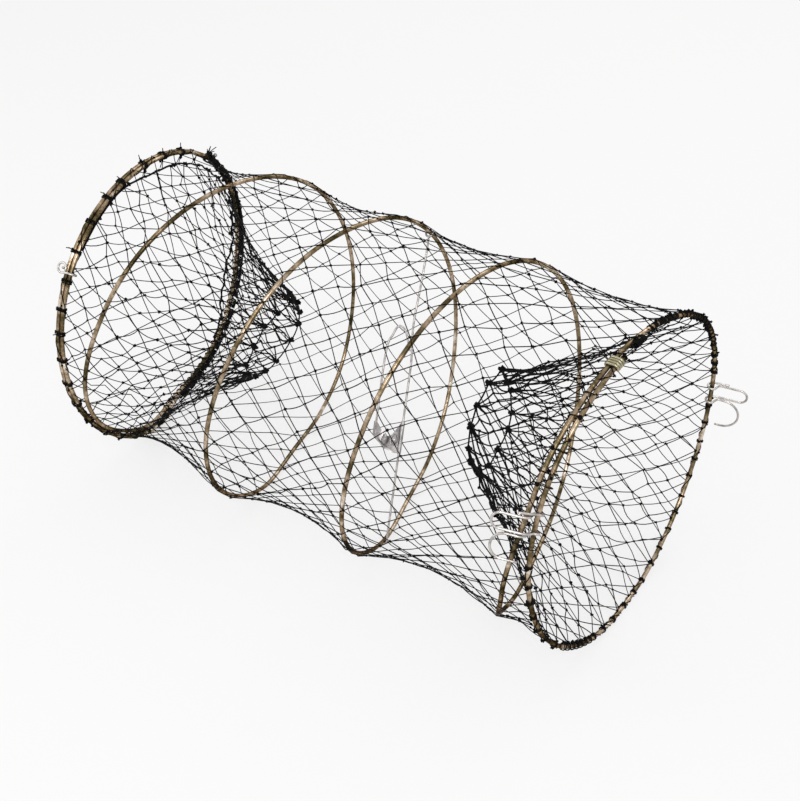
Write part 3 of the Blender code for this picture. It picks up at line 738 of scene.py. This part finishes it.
def random_turn():
    axis = Vector([rng.gauss(0, 1) for _ in range(3)]).normalized()
    return np.array(Matrix.Rotation(rng.uniform(0, TURN), 3, axis))


def slack(points, amount):
    """Bow a strand a little, mostly downward."""
    count = len(points) - 1
    lean = np.array((rng.gauss(0, 0.5), rng.gauss(0, 0.5), rng.gauss(-0.7, 0.4)))
    for index in range(1, count):
        points[index] = points[index] + amount * hump(index / count) * lean
    return points


def split_path(points, cut):
    """Cut a path where it passes X = cut, into runs that lie past it or short of it."""
    runs = []
    run = [points[0]]
    past = points[0][0] > cut
    for before, after in zip(points, points[1:]):
        now = after[0] > cut
        if now != past:
            share = (cut - before[0]) / (after[0] - before[0])
            middle = before + share * (after - before)
            runs.append((past, run + [middle]))
            run = [middle]
            past = now
        run.append(after)
    runs.append((past, run))
    return runs


def add_strand(stocks, cuts, points, radius):
    """Sweep a strand of net, cut wherever it passes from one piece into the next along X."""
    if not cuts:
        stocks[0].tube(points, radius, STRAND_SIDES, rounded=False)
        return
    for past, run in split_path(points, cuts[0]):
        if past:
            add_strand(stocks[1:], cuts[1:], run, radius)
        else:
            add_strand(stocks, (), run, radius)


def add_spot(stocks, cuts, spot):
    """Note a knot for the piece of the net that it lies in."""
    stocks[sum(int(spot[0] > cut) for cut in cuts)].knots.append(spot)


def jitters(rows, firm_rows, firm, steps, sizes):
    """A random shift for each knot of a net, less in the rows that are held firm."""
    shifts = {}
    for row in range(rows + 1):
        loose = firm if row in firm_rows else 1.0
        for step in range(steps):
            shifts[row, step] = [size * loose * rng.gauss(0, 1) for size in sizes]
    return shifts


def body_net():
    """Diamond meshes round the coils, in three pieces, of which the middle one lies along the spring."""
    steps = 2 * MESHES_ROUND
    jitter = jitters(BODY_ROWS, (0, BODY_ROWS), BODY_FIRM, steps, BODY_JITTER)
    cuts = (FOLD_LEFT, FOLD_RIGHT)

    def knot(row, step):
        turn = (step + 0.5) / steps
        left = left_plane(turn) + STRAND_STEP / 2
        right = right_plane(turn)
        x = left + (right - left) * row / BODY_ROWS
        turn += NET_TWIST * (x - (left + right) / 2)
        shift_x, shift_turn = jitter[row, step % steps]
        return x + shift_x, turn + shift_turn

    def on_ground(point):
        point[2] = max(point[2], NET_HEIGHT)
        return point

    def surface(x, turn):
        return on_ground(place(x, turn, net_radius(x, turn)))

    stocks = (Stock(), Stock(), Stock())
    for row in range(BODY_ROWS + 1):
        for step in range(row % 2, steps, 2):
            x, turn = knot(row, step)
            spot = surface(x, turn)
            add_spot(stocks, cuts, spot)
            if row == BODY_ROWS:
                continue
            for other in (step - 1, step + 1):
                next_x, next_turn = knot(row + 1, other)
                points = [surface(x + share * (next_x - x), turn + share * (next_turn - turn))
                          for share in spaced(0, 1, 4)]
                points = [on_ground(point) for point in slack(points, rng.uniform(0.0001, 0.0011))]
                add_strand(stocks, cuts, points, STRAND * rng.uniform(0.88, 1.15))
    stocks[0].twine_piece("body_net_left_edge", "left_end", *BODY_KNOTS)
    middle = stocks[1].twine_piece("body_net_strands", "left_end", *BODY_KNOTS, "body_net")
    fold(middle)
    stocks[2].twine_piece("body_net_right_edge", "right_end", *BODY_KNOTS)


def throat_point(turn, centre, tilt, radius):
    point = np.array((centre[0], AXIS_Y + centre[1], AXIS_Z + centre[2])) + radius * radial(turn)
    point[0] += tilt * (point[2] - AXIS_Z - centre[2])
    return point


def selvedge_drop(turn):
    """How far the rim of the left funnel hangs inside its ring at this turn."""
    turn = turn % 1.0
    return between(SELVEDGE, turn if turn > 0.5 else turn + 1.0)


def funnel(side, plane, inboard, hang_in, cut, centre, tilt, waist, phase):
    """A funnel net: meshes from the ring that narrow to a throat, where they gather in a few big knots."""
    steps = 2 * FUNNEL_MESHES
    jitter = jitters(FUNNEL_ROWS, (0,), FUNNEL_FIRM, steps, FUNNEL_JITTER)
    gathers = []
    for index in range(THROAT_KNOTS):
        turn = (index + phase) / THROAT_KNOTS + rng.gauss(0, THROAT_JITTER[0])
        gathers.append(throat_point(turn, centre, tilt, THROAT_RADIUS + THROAT_JITTER[1] * rng.gauss(0, 1)))

    def knot(row, step):
        turn = (step + 0.5) / steps
        if row == FUNNEL_ROWS:
            return gathers[round(turn * THROAT_KNOTS - phase) % THROAT_KNOTS]
        rim_radius = ring_radius(turn) - WIRE / 2 - 0.0004 - hang_in(turn)
        rim_point = place(plane(turn) + inboard * 0.001, turn, rim_radius)
        share = row / FUNNEL_ROWS
        share = share * (0.90 + 0.10 * share)
        point = rim_point + share * (throat_point(turn, centre, tilt, THROAT_RADIUS) - rim_point)
        drawn = waist[0] + waist[1] * math.cos(TURN * turn)
        point = point - drawn * hump(share) * radial(turn) + jitter[row, step % steps]
        point[2] -= FUNNEL_SAG * hump(share)
        return point

    rim = Stock()
    throat = Stock()
    stocks = (rim, throat) if inboard > 0 else (throat, rim)
    for row in range(FUNNEL_ROWS):
        thick = STRAND * (1.0 + 0.55 * smooth(0.5, 1.0, (row + 1) / FUNNEL_ROWS))
        for step in range(row % 2, steps, 2):
            spot = knot(row, step)
            add_spot(stocks, (cut,), spot)
            for other in (step - 1, step + 1):
                end = knot(row + 1, other % steps)
                points = slack(spaced(spot, end, 4), rng.uniform(0.0003, 0.0020))
                add_strand(stocks, (cut,), points, thick * rng.uniform(0.9, 1.15))
    name = side + "_funnel"
    body = side + "_end"
    rim.add_knots(rim.knots, *RIM_KNOTS)
    throat.add_knots(throat.knots, *FUNNEL_KNOTS)
    throat.add_knots(gathers, *GATHER_KNOTS)
    throat.add_knots([spot + np.array(BESIDE) for spot in gathers], *BESIDE_KNOTS)
    rim.piece(name + "_rim_strands", BLACK, body, "twine")
    fold(throat.piece(name + "_strands", BLACK, body, "twine", side + "_funnel_net"))
    path = []
    for start, end in zip(gathers, gathers[1:] + gathers[:1]):
        for share in spaced(0, 1, 4)[:-1]:
            point = start + share * (end - start)
            point[2] -= THROAT_SAG * hump(share)
            path.append(point)
    look = BLACK, body, "twine", side + "_throat_cord"
    fold(tube_piece(name + "_throat_twine", path, 0.00075, 6, *look, closed=True))


def nets():
    body_net()
    funnel("left", lambda turn: left_plane(turn) + STRAND_STEP, 1, selvedge_drop, FOLD_LEFT, *LEFT_THROAT)
    funnel("right", right_plane, -1, lambda turn: 0.0, FOLD_RIGHT, *RIGHT_THROAT)


# Lashings and ties


class Lashing(Stock):
    """Twine wound round a ring: the ring's plane, the way inboard along X, and how wide its strands lie."""

    def __init__(self, plane, inboard, width=0.0):
        super().__init__()
        self.plane = plane
        self.inboard = inboard
        self.width = width

    def spot(self, turn, across, radius):
        return place(self.plane(turn) + self.inboard * across, turn, radius)

    def wrap_path(self, hold, first, last, wraps, per_wrap):
        """Points of twine wound round the ring's wire or its two strands, with this many wraps in a turn."""
        points = []
        for turn in spaced(first, last, max(3, round(abs(last - first) * wraps * per_wrap))):
            polar = TURN * (turn - 0.5) * wraps
            across = hold * math.sin(polar) + (self.width if math.sin(polar) > 0 else 0.0)
            points.append(self.spot(turn, across, ring_radius(turn) - hold * math.cos(polar)))
        return points

    def tail(self, root, out, length, thick=TWINE * 0.45):
        """A short stiff end of twine that stands off a knot."""
        side = unit(np.array([rng.gauss(0, 1) for _ in range(3)]))
        bend = 0.3 * length
        path = [root + length * share * out + bend * share * share * side for share in spaced(0, 1, 5)]
        self.tube(path, thick, 5)

    def hitch(self, turn, wraps=2, hold=HITCH_HOLD, inner=False):
        """Tight wraps round the ring with a knot on them, outside or inside the ring."""
        self.tight_wraps(turn, wraps, TWINE / 2, hold, 10, 6)
        across = rng.uniform(-0.2, 0.9) * (self.width + 0.0012)
        sign = -1 if inner or abs(turn % 1.0 - 0.5) < 0.07 else 1
        spot = self.spot(turn, across, ring_radius(turn) + sign * (hold + 0.0004))
        self.knots.append(spot)
        return spot

    def cord_along(self, first, last, winds, phase, thick=TWINE / 2):
        """Twine that runs along the ring's wire and winds slowly round it."""
        points = []
        for turn in spaced(first, last, max(8, round(abs(last - first) * 260))):
            polar = TURN * (turn * winds + phase)
            across = HOLD * math.sin(polar) + self.width * (0.5 + 0.5 * math.sin(polar))
            points.append(self.spot(turn, across, ring_radius(turn) + HOLD * math.cos(polar)))
        self.tube(points, thick, 6)

    def dense_wraps(self, first, last, run, bare, hold=HOLD):
        """Close wraps in runs, with short bare gaps between them."""
        per_metre = 1 / RIM
        pitch = 1.08 * TWINE * per_metre
        turn = first
        while turn < last:
            end = min(turn + rng.uniform(*run) * per_metre, last)
            self.tube(self.wrap_path(hold, turn, end, 1 / pitch, 8), TWINE / 2, 5)
            turn = end + rng.uniform(*bare) * per_metre

    def tight_wraps(self, turn, wraps, radius, hold, per_wrap=16, sides=10):
        """A few close wraps of one thickness round the ring's strands, and their path."""
        pitch = 2.1 * radius / RIM
        half = wraps * pitch / 2
        path = self.wrap_path(hold, turn - half, turn + half, 1 / pitch, per_wrap)
        self.tube(path, radius, sides)
        return path


def left_lashing():
    """Twine on the left ring: hitches with tails on the near side, close wraps on the far side."""
    twine = Lashing(left_plane, 1, STRAND_STEP)
    for turn in NEAR_HITCHES:
        spot = twine.hitch(turn)
        out = unit(radial(turn) + rng.uniform(-0.9, -0.3) * ALONG)
        for _ in range(2):
            twine.tail(spot, out, rng.uniform(0.0022, 0.005))
        twine.knots.append(twine.hitch(turn + 0.002, 1, inner=True) - 0.002 * radial(turn))
    turn, last, step = LEFT_HITCHES
    while turn < last:
        twine.hitch(turn)
        if turn < 1.4:
            twine.tail(twine.hitch(turn + 0.0015, 1, inner=True), -radial(turn), 0.003)
        turn += step * rng.uniform(0.9, 1.1)
    for cord in LEFT_CORDS:
        twine.cord_along(*cord)
    for wraps in LEFT_WRAPS:
        twine.dense_wraps(*wraps)
    twine.cord_along(*LEFT_FAR_CORD)
    for index in range(26):
        turn = 0.545 + 0.0128 * index + rng.uniform(-0.002, 0.002)
        twine.hitch(turn, 1, HOLD + TWINE, inner=rng.random() < 0.6)
    twine.twine_piece("left_lashing_twine", "left_end", 0.0010, 0.0015, "left_ring_lashing")


def selvedge():
    """The thick cord along the left funnel's rim, knotted, and tied to the ring where it hangs inside it."""
    stock = Stock()
    points = []
    per_turn = 2 * FUNNEL_MESHES
    first = round(0.56 * per_turn)
    last = round(1.11 * per_turn)
    for index in range(4 * (last - first) + 1):
        turn = (first + index / 4) / per_turn
        inner = ring_radius(turn) - WIRE / 2 - 0.0006 - selvedge_drop(turn)
        waver = 0.0006 * math.sin(index * 0.9) + 0.0004 * math.sin(index * 0.37)
        points.append(place(left_plane(turn) + STRAND_STEP + 0.0008 + waver, turn, inner + waver))
    stock.tube(points, SELVEDGE_CORD, 7)
    stock.tube([point + 0.0009 * ALONG for point in points[::2]], 0.0006, 6)
    stock.add_knots(points[4::8], 0.0013, 0.0019)
    for turn in SELVEDGE_TIES:
        end_turn = turn + 0.006
        end_radius = ring_radius(end_turn) - WIRE / 2 - selvedge_drop(turn)
        for side in (-0.0012, 0.0012):
            start = place(left_plane(turn) + STRAND_STEP * 0.6, turn, ring_radius(turn) - HOLD)
            end = place(left_plane(end_turn) + STRAND_STEP + side, end_turn, end_radius)
            stock.tube(spaced(start, end, 4), THIN, 5)
    stock.piece("left_selvedge_cord", BLACK, "left_end", "twine")


def incoming_wraps():
    """Twine round the wire where it comes in inside the left ring."""
    points = []
    first, last = INNER_WRAPS
    for turn in spaced(first, last, round((last - first) * INNER_WRAPS_ROUND * 9)):
        polar = TURN * turn * INNER_WRAPS_ROUND
        swell = HOLD + 0.0005 * max(0.0, math.sin(TURN * turn * 19)) ** 2
        radius = wire_radius(turn) - swell * math.cos(polar)
        points.append(place(wire_x(turn) + swell * math.sin(polar), turn, radius))
    tube_piece("left_inner_wraps", points, TWINE * 0.62, 5, BLACK, "left_end", "twine")


def right_near_lashing():
    """Single hitches on the near side of the right ring, closer below."""
    twine = Lashing(wire_x, -1)
    turn, last, step = RIGHT_NEAR_HITCHES
    dense_first, dense_last, dense_step = RIGHT_DENSE_HITCHES
    while turn < last:
        dense = dense_first < turn < dense_last
        twine.hitch(turn, 2, HOLD + (0.0004 if dense else 0.0002), inner=dense)
        turn += (dense_step if dense else step) * rng.uniform(0.85, 1.15)
    for cord in RIGHT_NEAR_CORDS:
        twine.cord_along(*cord)
    twine.twine_piece("right_lashing_near_twine", "right_end", 0.0012, 0.0017, "right_ring_lashing_near")


def right_far_lashing():
    """Close hitches up the far side of the right ring, and closer wraps toward the top."""
    twine = Lashing(wire_x, -1)
    for turn in RIGHT_THREE_WRAPS:
        twine.hitch(turn, 3)
    turn, last, step = RIGHT_FAR_HITCHES
    while turn < last:
        twine.hitch(turn, rng.choice((1, 2)), HOLD - 0.0003, inner=rng.random() < 0.5)
        turn += step * rng.uniform(0.8, 1.2)
    twine.dense_wraps(*RIGHT_FAR_WRAPS, HOLD - 0.0002)
    twine.cord_along(*RIGHT_FAR_CORD)
    for turn in RIGHT_TOP_KNOTS:
        for shift in (-0.0012, 0.0012):
            twine.knots.append(place(wire_x(turn) - 0.001, turn + shift, RING_RADIUS - HOLD - 0.0002))
    twine.twine_piece("right_lashing_far_twine", "right_end", 0.0011, 0.0016, "right_ring_lashing_far")


def right_top_lashing():
    """Wraps and knots on both sides of the right ring's tie, and hitches round its two strands."""
    twine = Lashing(right_plane, -1, 0.4 * STRAND_STEP)
    twine.dense_wraps(*RIGHT_TOP_WRAPS)
    twine.width = STRAND_STEP
    twine.hitch(0.0075, 1)
    twine.hitch(0.0285, 1, HOLD)
    for shift in (-0.002, 0.0, 0.002):
        twine.knots.append(place(right_plane(0.031) - 1.3 * STRAND_STEP, 0.031 + shift, RING_RADIUS + 0.001))
    for turn in RIGHT_STRAND_HITCHES:
        twine.width = right_plane(turn) - wire_x(1.0 + turn)
        low = abs(wire_radius(1.0 + turn) - ring_radius(turn))
        twine.hitch(turn, 1, HITCH_HOLD + low, inner=rng.random() < 0.5)
    twine.twine_piece("right_top_twine", "right_end", 0.0012, 0.0016)


def ties():
    """Thin wire round both strands of each ring, and the left ring's top tie of twine with its tails."""
    tie = Lashing(right_plane, -1, STRAND_STEP)
    path = tie.tight_wraps(RIGHT_TIE, 4, 0.0011, WIRE / 2 + 0.0010)
    tie.tail(path[-1], unit(radial(RIGHT_TIE - 0.0015) + np.array((-0.5, 0.3, 0.2))), 0.005, 0.0009)
    tie.piece("right_tie_wire", PALE, "right_end", "zinc_wire", "right_end_tie")
    tie = Lashing(left_plane, 1, STRAND_STEP)
    tie.tight_wraps(LEFT_TIE, 4, 0.0009, WIRE / 2 + 0.001)
    tie.piece("left_tie_wire", PALE, "left_end", "zinc_wire", "left_end_tie")
    over = HOLD + TWINE + 0.0004
    tie = Lashing(left_plane, 1, STRAND_STEP)
    tie.tight_wraps(TOP_TIE, 5, TWINE * 0.6, over)
    knot_at = place(left_plane(TOP_TIE) - 0.001, TOP_TIE, RING_RADIUS + over + 0.0008)
    tie.add_knots([knot_at, knot_at + np.array((0.003, 0.0, -0.001))], 0.0021, 0.0023)
    for lean in (-0.8, -0.3, 0.1, 0.5, 0.9):
        out = unit(radial(TOP_TIE) + np.array((lean, 0.3 * lean, 0.0)))
        tie.tail(knot_at, out, rng.uniform(0.006, 0.009))
    tie.piece("left_top_tie_twine", BLACK, "left_end", "twine", "left_top_tie")


def bead():
    """A small grey bead on the twine of the left ring's top tie."""
    turn = TOP_TIE - 0.006
    centre = place(left_plane(turn) + 0.004, turn, RING_RADIUS + 0.0062)
    across = unit(np.cross(radial(turn), ALONG))
    angles = spaced(0.0, math.pi, 12)
    path = [centre - 0.0019 * math.cos(angle) * across for angle in angles]
    radii = [0.0017 * math.sin(angle) ** 0.8 + 0.0003 for angle in angles]
    tube_piece("left_tie_bead", path, radii, 14, SHEET, "left_end", "bright_sheet", rounded=False)


# Closing clips


def bent_wire(name, points, thick, material, body, node):
    """A piece of one thin round wire."""
    tube_piece(name, points, thick / 2, 12, material, body, "bright_wire", node)


def clip(side, eye_turn, climb_sign, reaches, lift, stand, widths):
    """One thin wire: a free end, an eye on the ring, a hairpin, a second eye and a wider hairpin."""
    second_turn = eye_turn + climb_sign * (widths[0] + EYE_STEP) / RIM
    first_eye = place(right_plane(eye_turn), eye_turn, RING_RADIUS)
    second_eye = place(right_plane(second_turn), second_turn, RING_RADIUS)
    along = unit(second_eye - first_eye)
    out = radial((eye_turn + second_turn) / 2)
    out = unit(out - out.dot(along) * along)
    toward = np.cross(along, out)
    if toward[0] * climb_sign > 0:
        toward = -toward
    out, toward = (math.cos(stand) * out - math.sin(stand) * toward,
                   math.cos(stand) * toward + math.sin(stand) * out)
    eye_radius = WIRE / 2 + CLIP_GAP + CLIP_WIRE / 2
    second_start = np.linalg.norm(second_eye - first_eye)

    def spot(along_by, out_by, toward_by):
        return first_eye + along_by * along + out_by * out + toward_by * toward

    def eye(middle):
        points = []
        for share in spaced(0, 1, 18):
            angle = -EYE_SWEEP * share
            climb = middle + (share - 0.5) * EYE_STEP
            points.append(spot(climb, eye_radius * math.cos(angle), eye_radius * math.sin(angle)))
        return points

    def hairpin(root, width, reach):
        half = width / 2
        tip = arc(spot(root + half, lift, reach - half), -along, toward, half, 0.0, math.pi, 10)
        rise = spot(root, (eye_radius + lift) / 2, 1.6 * eye_radius)
        return [rise, spot(root, lift, 2.8 * eye_radius)] + tip + [spot(root + width, lift, 2 * eye_radius)]

    half_step = EYE_STEP / 2
    points = [spot(-half_step, lift, CLIP_TAIL), spot(-half_step, (lift + eye_radius) / 2, CLIP_TAIL / 2)]
    points += eye(0.0) + hairpin(half_step, second_start - EYE_STEP, reaches[0])
    points += eye(second_start) + hairpin(second_start + half_step, widths[1], reaches[1])
    points = flowing(points, 4)
    bent_wire(side + "_clip_wire", points, CLIP_WIRE, BRIGHT, side + "_clip", "closing_clip_" + side)


def left_loop():
    """A small wire loop round both strands of the left ring."""
    hold = HOLD + TWINE / 2 + GAP + CLIP_WIRE / 2 + 0.0002
    centre = place(left_plane(LEFT_LOOP_TURN), LEFT_LOOP_TURN, RING_RADIUS)
    along = unit(place(left_plane(LEFT_LOOP_TURN + 0.01), LEFT_LOOP_TURN + 0.01, RING_RADIUS) - centre)
    out = radial(LEFT_LOOP_TURN)
    slope = 1.5 * CLIP_WIRE * along
    points = arc(centre - slope / 2, out, -ALONG, hold, math.radians(20), math.pi, 14)
    points += arc(centre + STRAND_STEP * ALONG + slope / 2, -out, ALONG, hold, 0.0, math.pi, 16)
    end = centre + slope + hold * out - LEFT_LOOP_REACH * ALONG
    points += arc(end - LEFT_LOOP_RADIUS * along, along, -ALONG, LEFT_LOOP_RADIUS, 0.0, 1.6 * math.pi, 24)
    bent_wire("left_loop_wire", flowing(points, 2), CLIP_WIRE, BRIGHT, "left_end", "closing_loop_left")


# Bait holder


def plain_coil_point(turn):
    """The CAD coil's wire, without the waver."""
    return place(wire_x(turn), turn, COIL_RADIUS - foot_bend(turn, COIL_REACH))


def coil_chord(turn):
    """The middle and the direction of the CAD coil's straight piece nearest to this turn."""
    start = RIGHT_SPLIT + GAP / RIM
    end = LEFT_SPLIT - GAP / RIM
    count = math.ceil((end - start) * COIL_SEGMENTS)
    index = round((turn - start) / (end - start) * count - 0.5)
    before = plain_coil_point(start + (end - start) * index / count)
    after = plain_coil_point(start + (end - start) * (index + 1) / count)
    return (before + after) / 2, unit(after - before)


def hook(turn, inward, start, end, count):
    """Points of a hook round the coil, with 0 at its crown, on the side that faces inward."""
    centre, along = coil_chord(turn)
    crown = unit(inward - inward.dot(along) * along)
    reach = WIRE / 2 + GAP + BAIT_WIRE / 2 + 0.0002
    return arc(centre, crown, np.cross(along, crown), reach, start, end, count)


def bait_holder():
    """A hooked wire between two coils, the safety pin's arm beside it, and the folded catch."""
    top, _ = coil_chord(BAIT_TOP_TURN)
    foot, _ = coil_chord(BAIT_FOOT_TURN)
    foot_hook = hook(BAIT_FOOT_TURN, top - foot, *FOOT_SWEEP, 18)
    down = unit(foot_hook[0] - top)
    side = np.array(PIN_SIDE, float)
    side = unit(side - side.dot(down) * down)
    top_hook = hook(BAIT_TOP_TURN, down, -TOP_SWEEP, TOP_SWEEP, 28)
    bent_wire("bait_hook_wire", top_hook, BAIT_WIRE, DULL_SHADED, "bait_hanger", "bait_top_hook")

    start = top + (WIRE / 2 + 2 * GAP + 1.5 * BAIT_WIRE) * down
    line = []
    for share in spaced(0, 1, 24)[:-1]:
        bow = BAIT_BOW * math.sin(math.pi * share) ** 2 * (1 - smooth(0.25, 0.42, share))
        line.append(start + (foot_hook[0] - start) * share + bow * side)
    bent_wire("bait_line_wire", line + foot_hook, BAIT_WIRE, DULL_SHADED, "bait_holder", "bait_wire")

    stub = BAIT_WIRE / 2 + GAP

    def spot(side_by, up_by):
        return top + PIN_START * down + side_by * side - up_by * down

    route = [
        spot(stub + BAIT_WIRE, 0.0),
        spot(0.45 * PIN_ARCH_WIDTH, 0.8 * PIN_ARCH),
        spot(0.78 * PIN_ARCH_WIDTH, PIN_ARCH),
        spot(PIN_ARCH_WIDTH, 0.62 * PIN_ARCH),
        spot(PIN_SPREAD, -0.25 * PIN_ARCH),
        spot(PIN_SPREAD, -(CATCH_START - PIN_START + CATCH_LAP)),
    ]
    bent_wire("bait_pin_wire", [spot(stub, 0.0)] + flowing(route, 10), BAIT_WIRE, DULL_SHADED, "pin_arm", "bait_pin")
    catch(top + CATCH_START * down, down, side, np.cross(side, down))


def catch(head, down, side, front):
    """The folded sheet catch: a curl round the wire, a back plate, a wall beside the pin and two leaves."""
    curl = BAIT_WIRE / 2 + GAP + 0.0004
    width = PIN_SPREAD + curl
    rows = 20
    half_sheet = CATCH_SHEET / 2

    def level(share, across):
        """A place down the sheet: the top edge is notched between two points, the foot is rounded."""
        notch = CATCH_NOTCH * math.sin(math.pi * across) ** 1.3 - 0.12 * (1 - across)
        foot = 1.0 + 0.04 * math.sin(math.pi * across) - 0.10 * across
        return head + (notch + (foot - notch) * share) * CATCH_LENGTH * down

    def profile(share):
        lap = (CATCH_LAP + 2 * BAIT_WIRE) / CATCH_LENGTH
        narrow = width * (1 - CATCH_TAPER * smooth(lap, 1.0, share) ** 1.5)
        points = arc(level(share, 0.0), side, front, curl, math.radians(30), math.radians(270), 14)
        for across in spaced(0, 1, 15)[1:]:
            dent = 0.0016 * math.sin(2 * math.pi * across) * (1 - share)
            points.append(level(share, across) + (narrow - curl) * across * side - (curl - dent) * front)
        corner = level(share, 1.0) + (narrow - curl) * side
        return points + arc(corner, -front, side, curl, math.radians(15), math.radians(165), 9)

    sheet = np.array([profile(share) for share in spaced(0, 1, rows)])
    normals = np.cross(np.gradient(sheet, axis=1), np.gradient(sheet, axis=0))
    normals /= np.maximum(np.linalg.norm(normals, axis=2, keepdims=True), 1e-12)
    outer = sheet + half_sheet * normals
    inner = sheet - half_sheet * normals
    loops = np.concatenate((outer, inner[:, ::-1]), 1)
    stock = Stock()
    stock.grid(loops, np.linspace(0.0, CATCH_LENGTH, rows + 1))
    for row in (0, rows):
        middle = (outer[row] + inner[row]) / 2
        rim = np.concatenate((middle, middle[::-1]))
        stock.grid(np.array((loops[row], rim)), np.array((0.0, half_sheet)))
    for lean, start in ((0.22, 0.34), (0.56, 0.36)):
        leaf = []
        for share in spaced(0, 1, 11):
            spread = 0.0030 * math.sin(math.pi * share) ** 0.7 + 0.0001
            middle = head + (start + 0.42 * share) * CATCH_LENGTH * down
            middle = middle + lean * width * side + (0.0006 + 0.0014 * math.sin(math.pi * share)) * front
            low, high = math.radians(-15), math.radians(195)
            thin = spread - min(0.0003, 0.4 * spread)
            curve = arc(middle, side, front, spread, low, high, 8)
            leaf.append(curve + arc(middle, side, front, thin, high, low, 8))
        stock.grid(np.array(leaf), np.linspace(0.0, 0.012, 12))
    stock.piece("bait_catch_sheet", SHEET, "bait_holder", "bright_sheet", "bait_catch")


# Stage


def floor():
    """A plain pale floor that keeps the trap's shadow, faintly."""
    material, graph, shader = new_material("floor")
    graph.connect(shader, {"Base Color": (0.78, 0.78, 0.78, 1), "Roughness": 0.95, "Specular IOR Level": 0.0})
    glow = graph.add("Emission", {"Color": PALE_FLOOR})
    share = graph.add("Math", {0: graph.seen_share(), 1: FLOOR_GLOW}, operation="MULTIPLY")
    sources = shader.outputs["BSDF"], glow.outputs["Emission"]
    graph.show_blend(share.outputs["Value"], *sources, "Material Output")
    mesh = bpy.data.meshes.new("floor")
    corners = [(FLOOR_REACH * x, FLOOR_REACH * y, 0) for x, y in ((-1, -1), (1, -1), (1, 1), (-1, 1))]
    mesh.from_pydata(corners, [], [(0, 1, 2, 3)])
    mesh.materials.append(material)
    thing = shown("floor", mesh)


def world():
    """Soft white surroundings, brighter overhead, seen by the camera as a pale background."""
    surroundings = bpy.data.worlds.new("studio")
    bpy.context.scene.world = surroundings
    graph = Graph(surroundings)
    direction = graph.add("TexCoord", {}).outputs["Generated"]
    height = graph.add("SeparateXYZ", {"Vector": direction}).outputs["Z"]
    light = graph.nodes["Background"]
    graph.connect(light, {"Color": (1, 1, 1, 1), "Strength": graph.scaled(height, 0.0, 1.0, *SKY)})
    seen = graph.add("Background", {"Color": PALE_DISTANCE})
    sources = light.outputs["Background"], seen.outputs["Background"]
    graph.show_blend(graph.seen_share(), *sources, "World Output")


def aim(thing, place_at, ahead):
    thing.location = place_at
    thing.rotation_euler = Vector(ahead).to_track_quat("-Z", "Y").to_euler()


def lamp(name, place_at, size, energy):
    data = bpy.data.lights.new(name, "AREA")
    data.shape = "SQUARE"
    data.size = size
    data.energy = energy
    aim(shown(name, data), place_at, Vector(LAMP_TARGET) - Vector(place_at))


def camera():
    data = bpy.data.cameras.new("camera")
    data.lens = 48.62
    data.sensor_width = 36
    data.sensor_fit = "HORIZONTAL"
    data.clip_start = 0.01
    thing = shown("camera", data)
    aim(thing, (LEFT_X + 0.6806, AXIS_Y - 0.6428, AXIS_Z + 0.6454), (-0.3933, 0.6428, -0.6574))
    bpy.context.scene.camera = thing


camera()
floor()
world()
lamp("key", (0.75, -1.25, 1.6), 0.8, 15)
lamp("fill", (-1.2, -0.8, 1.2), 1.2, 6)
lamp("rim", (0.2, 1.5, 1.5), 1.2, 7)
wires()
nets()
left_lashing()
selvedge()
incoming_wraps()
right_near_lashing()
right_far_lashing()
right_top_lashing()
ties()
bead()
clip("near", *CLIP_NEAR)
clip("far", *CLIP_FAR)
left_loop()
bait_holder()

bpy.context.scene.view_settings.view_transform = "Standard"
